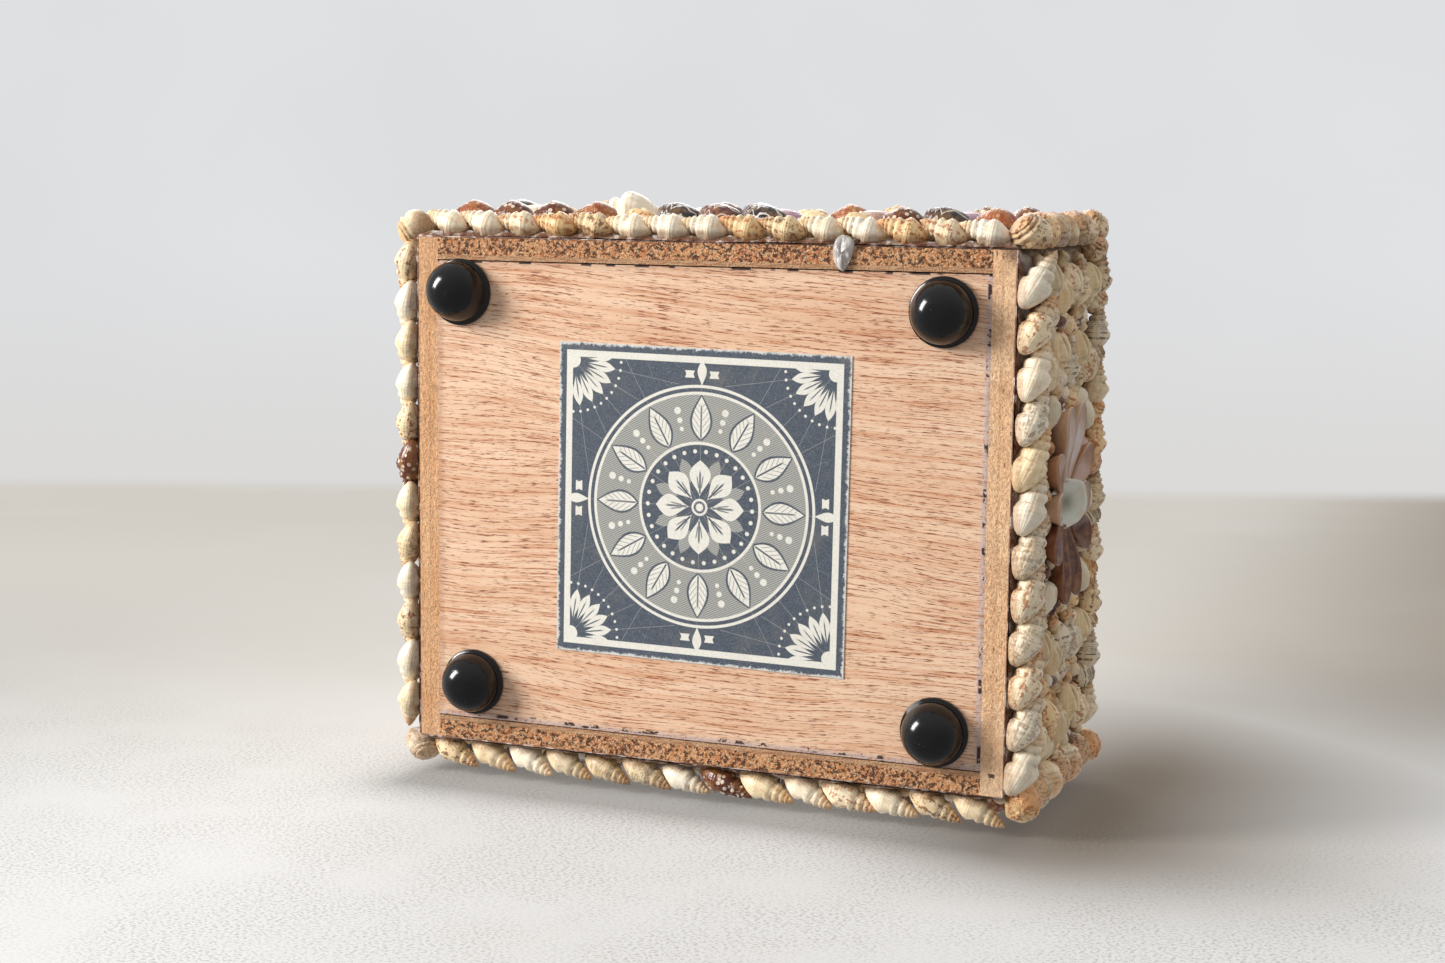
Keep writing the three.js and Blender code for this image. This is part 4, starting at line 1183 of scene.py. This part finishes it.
def folded(radius, angle, count, shift=0.0):  # one sector of a figure repeated round a centre
    share = (angle * (count / (2 * math.pi)) + 0.5 + shift + 64).fraction() - 0.5
    bent = share * (2 * math.pi / count)
    return radius * bent.cosine(), radius * bent.sine()


def leaf(u, v, size, point=1.0):  # a pointed oval along u, and the share of its length
    share = ((u - size["start"]) / (size["end"] - size["start"])).most(0.0).least(1.0)
    reach = (share.power(point) * math.pi).sine() * size["width"]
    return (reach - abs(v)).step(-label["edge"], label["edge"]), share


def within(distance):  # 1 where the distance is below 0, with a soft edge
    return distance.step(label["edge"], -label["edge"])


def bead(u, v, place, size):
    return within(((u - place).power(2) + v * v).power(0.5) - size)


def labelFigures(x, y):  # where the print is white, and where it is grey
    soft, ring, fan = label["edge"], label["ring"], label["fan"]
    radius, angle = (x * x + y * y).power(0.5), y.angleFrom(x)
    # rosette
    u, v = folded(radius, angle, label["rosette"]["count"])
    petal, share = leaf(u, v, label["rosette"], 1.35)
    vein = abs(v).step(0.3, 0.16) * share.step(0.05, 0.1) * share.step(0.75, 0.6)
    side = abs((abs(v) - (u - label["rosette"]["start"]) * 0.16)).step(0.22, 0.1)
    side = side * share.step(0.2, 0.25) * share.step(0.6, 0.5)
    white = petal * (1 - vein.most(side * 0.8))
    u, v = folded(radius, angle, label["rosette"]["count"], 0.5)
    grey = leaf(u, v, label["behind"], 1.2)[0] * (1 - petal)
    white = white.most(radius.step(1.0, 0.85)).most(within(abs(radius - 1.75) - 0.28))
    u, v = folded(radius, angle, label["beads"]["count"])
    white = white.most(bead(u, v, label["beads"]["radius"], label["beads"]["size"]))
    # ring of leaves
    inRing = radius.step(ring["inner"] - soft, ring["inner"] + soft)
    grey = grey.most(inRing * radius.step(ring["outer"] + soft, ring["outer"] - soft))
    u, v = folded(radius, angle, label["leaves"]["count"])
    blade, share = leaf(u, v, label["leaves"], 0.8)
    vein = abs(v).step(0.26, 0.14) * share.step(0.0, 0.05) * share.step(0.85, 0.7)
    barbs = abs(((u - abs(v) * 1.3) * 0.62).fraction() - 0.5).step(0.1, 0.04)
    barbs = barbs * share.step(0.12, 0.2) * share.step(0.9, 0.8) * (abs(v) - 0.3).step(0.0, 0.1) * 0.75
    grey = grey * (1 - leaf(u, v, label["rims"], 0.8)[0])
    white = white.most(blade * (1 - vein.most(barbs)))
    u, v = folded(radius, angle, label["sprigs"]["count"], 0.5)
    for near, small in label["sprigs"]["steps"]:
        white = white.most(bead(u, v, label["sprigs"]["radius"] * near, label["sprigs"]["size"] * small))
    for level in (ring["inner"], ring["outer"], ring["outer"] + 1.6):
        white = white.most(within(abs(radius - level) - ring["line"]))
    # fans in the corners
    p, q = fan["place"] - abs(x), fan["place"] - abs(y)
    cornerRadius, cornerAngle = (p * p + q * q).power(0.5), q.angleFrom(p)
    outside = radius.step(ring["outer"] + 2.4, ring["outer"] + 2.5)
    u, v = folded(cornerRadius, cornerAngle, fan["count"], 0.5)
    plume, share = leaf(u, v, fan, 1.5)
    vein = abs(v).step(0.2, 0.1) * share.step(0.8, 0.6)
    white = white.most(plume * (1 - vein) * outside).most(cornerRadius.step(1.9, 1.75) * outside)
    u, v = folded(cornerRadius, cornerAngle, fan["count"] * 2)
    white = white.most(bead(u, v, fan["beads"], fan["bead"]) * outside)
    # a bud at the middle of each side
    s, t = abs(x).most(abs(y)), abs(x).least(abs(y))
    white = white.most(leaf(s, t, label["stalk"], 1.3)[0])
    arms = within(abs(t - 3.1) - 0.9 - abs(s - 31.4) * 0.4)
    return white.most(arms * abs(s - 31.4).step(0.9, 0.8)), grey


def labelMaterial():
    material, tree, shader = newMaterial("printedPaper", 0.62)
    x, y, z = placeFields(tree, math.radians(-label["turn"]))
    white, grey = labelFigures(x, y)
    inset = (label["half"][0] - abs(x)).least(label["half"][1] - abs(y))
    line = within(abs(inset - label["borderInset"] - label["border"] / 2) - label["border"] / 2)
    inside = inset.step(label["borderInset"], label["borderInset"] + label["border"])
    here = at(x, y, z)
    fine, broad = noise(here, 3.2, 3, 0.65), noise(here, 0.12, 3)
    hatch = (((x * 0.5 + y) * 1.9).fraction() - 0.5)
    slate = blend(fine.step(0.35, 0.7), (58, 66, 78), (90, 98, 109))
    middle = blend(abs(hatch).step(0.16, 0.3), (126, 128, 126), (172, 170, 162))
    pale = blend(fine.step(0.4, 0.7), (232, 228, 216), (214, 210, 200))
    colour = blend((white * inside).most(line), blend(grey * inside, slate, middle), pale)
    specks = cells(here, 1.5).step(0.13, 0.07) * noise(here, 0.5, 2).step(0.45, 0.6)
    worn = (inset + (noise(here, 0.9, 4, 0.7) - 0.5) * 2.6).step(0.75, 0.1)
    scratch = noise(at(x * 0.2 + y * 0.2, y * 1.6 - x * 1.6, z), 0.9, 2).step(0.73, 0.78)
    colour = blend((specks * 0.7).most(worn * 0.85).most(scratch * 0.18), colour, (224, 222, 216))
    colour = blend(broad.step(0.5, 0.8) * 0.15, colour, (170, 160, 140))
    feed(shader.inputs["Base Color"], colour)
    addBump(shader, fine * 0.6 + broad, 0.05, 0.6)
    return material


dress("paper_label", labelMaterial())
print("label dressed")

# Camera at the photograph's place: it looks up at the underside
lens = {"focal": 57.87, "sensor": 36.0, "place": (206.6, -77.1, -492.9), "near": 0.01, "far": 20,
        "right": (0.92767, -0.01082, 0.37326), "down": (0.05835, 0.99150, -0.11630),
        "ahead": (-0.36883, 0.12966, 0.92041)}
camera = bpy.data.objects.new("camera", bpy.data.cameras.new("camera"))
bpy.context.scene.collection.objects.link(camera)
turn = Matrix([lens["right"], [-v for v in lens["down"]], [-v for v in lens["ahead"]]]).transposed().to_4x4()
camera.matrix_world = Matrix.Translation(Vector(lens["place"]) * mm) @ turn
camera.data.lens, camera.data.sensor_width = lens["focal"], lens["sensor"]
camera.data.clip_start, camera.data.clip_end = lens["near"], lens["far"]
bpy.context.scene.camera = camera

# Stage: pale one-sided planes, so that each is open to a camera behind it
stage = {
    "floorSize": 3000, "groundLevel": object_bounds()[1][1] / mm, "groundNear": -700, "groundWide": 2400,
    "wallPoint": (-218.8, 568), "wallTurn": -0.382, "wallHeight": 1500, "wide": 2400,
    "contact": (34, 2.4), "cast": (140, 1.1), "wallTone": (225, 226, 228), "horizonTone": (219, 218, 217),
    "farTone": (210, 205, 197), "nearTone": (226, 225, 223), "leftTone": (166, 165, 162),
    "shadeTone": (100, 82, 58), "footShade": (110, 106, 102), "threadTone": (150, 145, 139),
}
wallRun = (math.cos(stage["wallTurn"]), math.sin(stage["wallTurn"]))


def addShader(tree, kind, *sockets):
    node = tree.nodes.new(kind)
    for socket, source in zip(node.inputs, sockets):
        tree.links.new(source, socket)
    return node.outputs[0]


def stagePlane(name, corners, makeTone):
    mesh = bpy.data.meshes.new(name)
    mesh.from_pydata([tuple(c * mm for c in corner) for corner in corners], [], [(0, 1, 2, 3)])
    plane = bpy.data.objects.new(name, mesh)
    bpy.context.scene.collection.objects.link(plane)
    material, tree, shader = newMaterial(name, 0.9, Specular_IOR_Level=0.1)
    behind = tree.nodes.new("ShaderNodeNewGeometry").outputs["Backfacing"]
    clear = addShader(tree, "ShaderNodeBsdfTransparent")
    surface = addShader(tree, "ShaderNodeMixShader", behind, makeTone(tree, shader), clear)
    tree.links.new(surface, tree.nodes["Material Output"].inputs["Surface"])
    mesh.materials.append(material)
    plane.visible_diffuse = plane.visible_glossy = False
    plane.visible_transmission = plane.visible_shadow = False


def lit(shader, share, glow):  # part lit by the lamps, part of an even tone
    emission = addShader(glow.tree, "ShaderNodeEmission", glow.socket)
    node = glow.tree.nodes.new("ShaderNodeMixShader")
    feed(node.inputs[0], share)
    glow.tree.links.new(shader.outputs[0], node.inputs[1])
    glow.tree.links.new(emission, node.inputs[2])
    return node.outputs[0]


def underBox(across, along, halfAcross, halfAlong, fade, sharp):  # 1 under the box, fading out round it
    outside = (abs(across) - halfAcross).most(0.0).power(2) + (abs(along) - halfAlong).most(0.0).power(2)
    return outside.power(0.5).step(fade, -14).power(sharp)


def groundTones(tree, shader):
    x, y, z = placeFields(tree)
    wallX, wallZ = stage["wallPoint"]
    ahead = (x - wallX) * wallRun[1] + (z - wallZ) * wallRun[0]  # distance to the backdrop, negative here
    mottled = noise(at(x, y, z), 0.012, 3)
    # painted light fall-off: the ground is lighter towards the lamp side and dimmer towards the backdrop,
    # with random mottle
    far = ahead.step(-640, -380) + (mottled - 0.5) * 0.8
    colour = blend(far, stage["nearTone"], stage["farTone"])
    # painted shade: the ground is darker to the left
    colour = blend(x.step(-60, -380) * ahead.step(-200, -560), colour, stage["leftTone"])
    footprint = (x, z - carcase["top"] / 2, longHalf, carcase["top"] / 2)
    shade = x.step(25, 100) * z.step(-60, 20) * underBox(*footprint, *stage["cast"])
    shade = shade.most(x.step(10, 170) * x.step(420, 200) * z.step(40, 240) * 0.55)
    colour = blend(shade, colour, stage["shadeTone"])
    weave = noise(at(x * 1.1, 0.0, z * 1.5), 1.0, 1)
    worn = noise(at(x, 0.0, z), 0.03, 2)
    threads = weave.step(0.52, 0.36) * z.step(90, 0) * (worn.step(0.3, 0.6) * 0.7 + 0.3)
    colour = blend(threads * 0.45, colour, stage["threadTone"])
    colour = blend(underBox(*footprint, *stage["contact"]) * 0.9, colour, stage["footShade"])
    feed(shader.inputs["Base Color"], colour)
    glow = blend(ahead.step(-60, 0), colour, stage["horizonTone"])
    return lit(shader, ahead.step(-560, -120) * 0.6 + 0.4, glow)


def wallTones(tree, shader):
    x, y, z = placeFields(tree)
    mottled = noise(at(x, y, z), 0.006, 2)
    colour = blend(mottled.step(0.3, 0.7), stage["wallTone"], (221, 222, 224))
    rise = (stage["groundLevel"] - y).step(0, 120)
    return lit(shader, 1.0, blend(rise, stage["horizonTone"], colour))


def floorTones(tree, shader):
    x, y, z = placeFields(tree)
    mottled = noise(at(x, y, z), 0.012, 3)
    colour = blend(mottled.step(0.35, 0.65), stage["nearTone"], stage["farTone"])
    under = underBox(x, y, longHalf, shortHalf, *stage["contact"])
    colour = blend(under * 0.7, colour, stage["footShade"])
    feed(shader.inputs["Base Color"], colour)
    return lit(shader, 0.5, colour)


def wallAt(along):
    return stage["wallPoint"][0] + along * wallRun[0], stage["wallPoint"][1] - along * wallRun[1]


reach, level, near = stage["floorSize"], stage["groundLevel"], stage["groundNear"]
wide, top = stage["groundWide"], stage["groundLevel"] - stage["wallHeight"]
(leftX, leftZ), (rightX, rightZ) = wallAt(-stage["wide"]), wallAt(stage["wide"])
left, right = (leftX, level, leftZ), (rightX, level, rightZ)
floorCorners = [(-reach, -reach, 0), (reach, -reach, 0), (reach, reach, 0), (-reach, reach, 0)]
stagePlane("floor", floorCorners, floorTones)
stagePlane("ground", [(-wide, level, near), (wide, level, near), right, left], groundTones)
stagePlane("backdrop", [left, right, (rightX, top, rightZ), (leftX, top, leftZ)], wallTones)

# Light: pale surroundings, a broad soft key from the camera's left, a weaker one from above
world = bpy.data.worlds.new("surroundings")
bpy.context.scene.world = world
world.use_nodes = True
sky = {"bright": 0.72, "dim": 0.36, "towards": (-0.35, -0.62, 0.5), "colour": (0.955, 0.965, 0.985)}


def paintSky(tree):  # brighter from the front left and from above
    dot = tree.nodes.new("ShaderNodeVectorMath")
    dot.operation = "DOT_PRODUCT"
    feed(dot.inputs[0], Field(tree, tree.nodes.new("ShaderNodeTexCoord").outputs["Generated"]))
    feed(dot.inputs[1], sky["towards"])
    dim, bright = ([c * sky[key] for c in sky["colour"]] for key in ("dim", "bright"))
    share = Field(tree, dot.outputs["Value"]).step(-0.8, 0.6)
    feed(tree.nodes["Background"].inputs["Color"], blend(share, dim, bright))


paintSky(world.node_tree)


def areaLight(name, place, target, size, power, colour):
    light = bpy.data.lights.new(name, "AREA")
    light.shape, light.size, light.size_y = "RECTANGLE", size[0] * mm, size[1] * mm
    light.energy, light.color = power, colour
    lamp = bpy.data.objects.new(name, light)
    bpy.context.scene.collection.objects.link(lamp)
    lamp.location = Vector(place) * mm
    lamp.rotation_mode = "QUATERNION"
    lamp.rotation_quaternion = (Vector(target) - Vector(place)).to_track_quat("-Z", "Y")


areaLight("windowLight", (-1080, -480, -700), (0, 0, 20), (640, 400), 26, (1.0, 0.985, 0.96))
areaLight("skyLight", (-350, -450, 700), (0, 0, 40), (600, 600), 3.4, (1.0, 0.985, 0.97))
bpy.context.scene.view_settings.view_transform = "Standard"
print("camera, stage and light set")
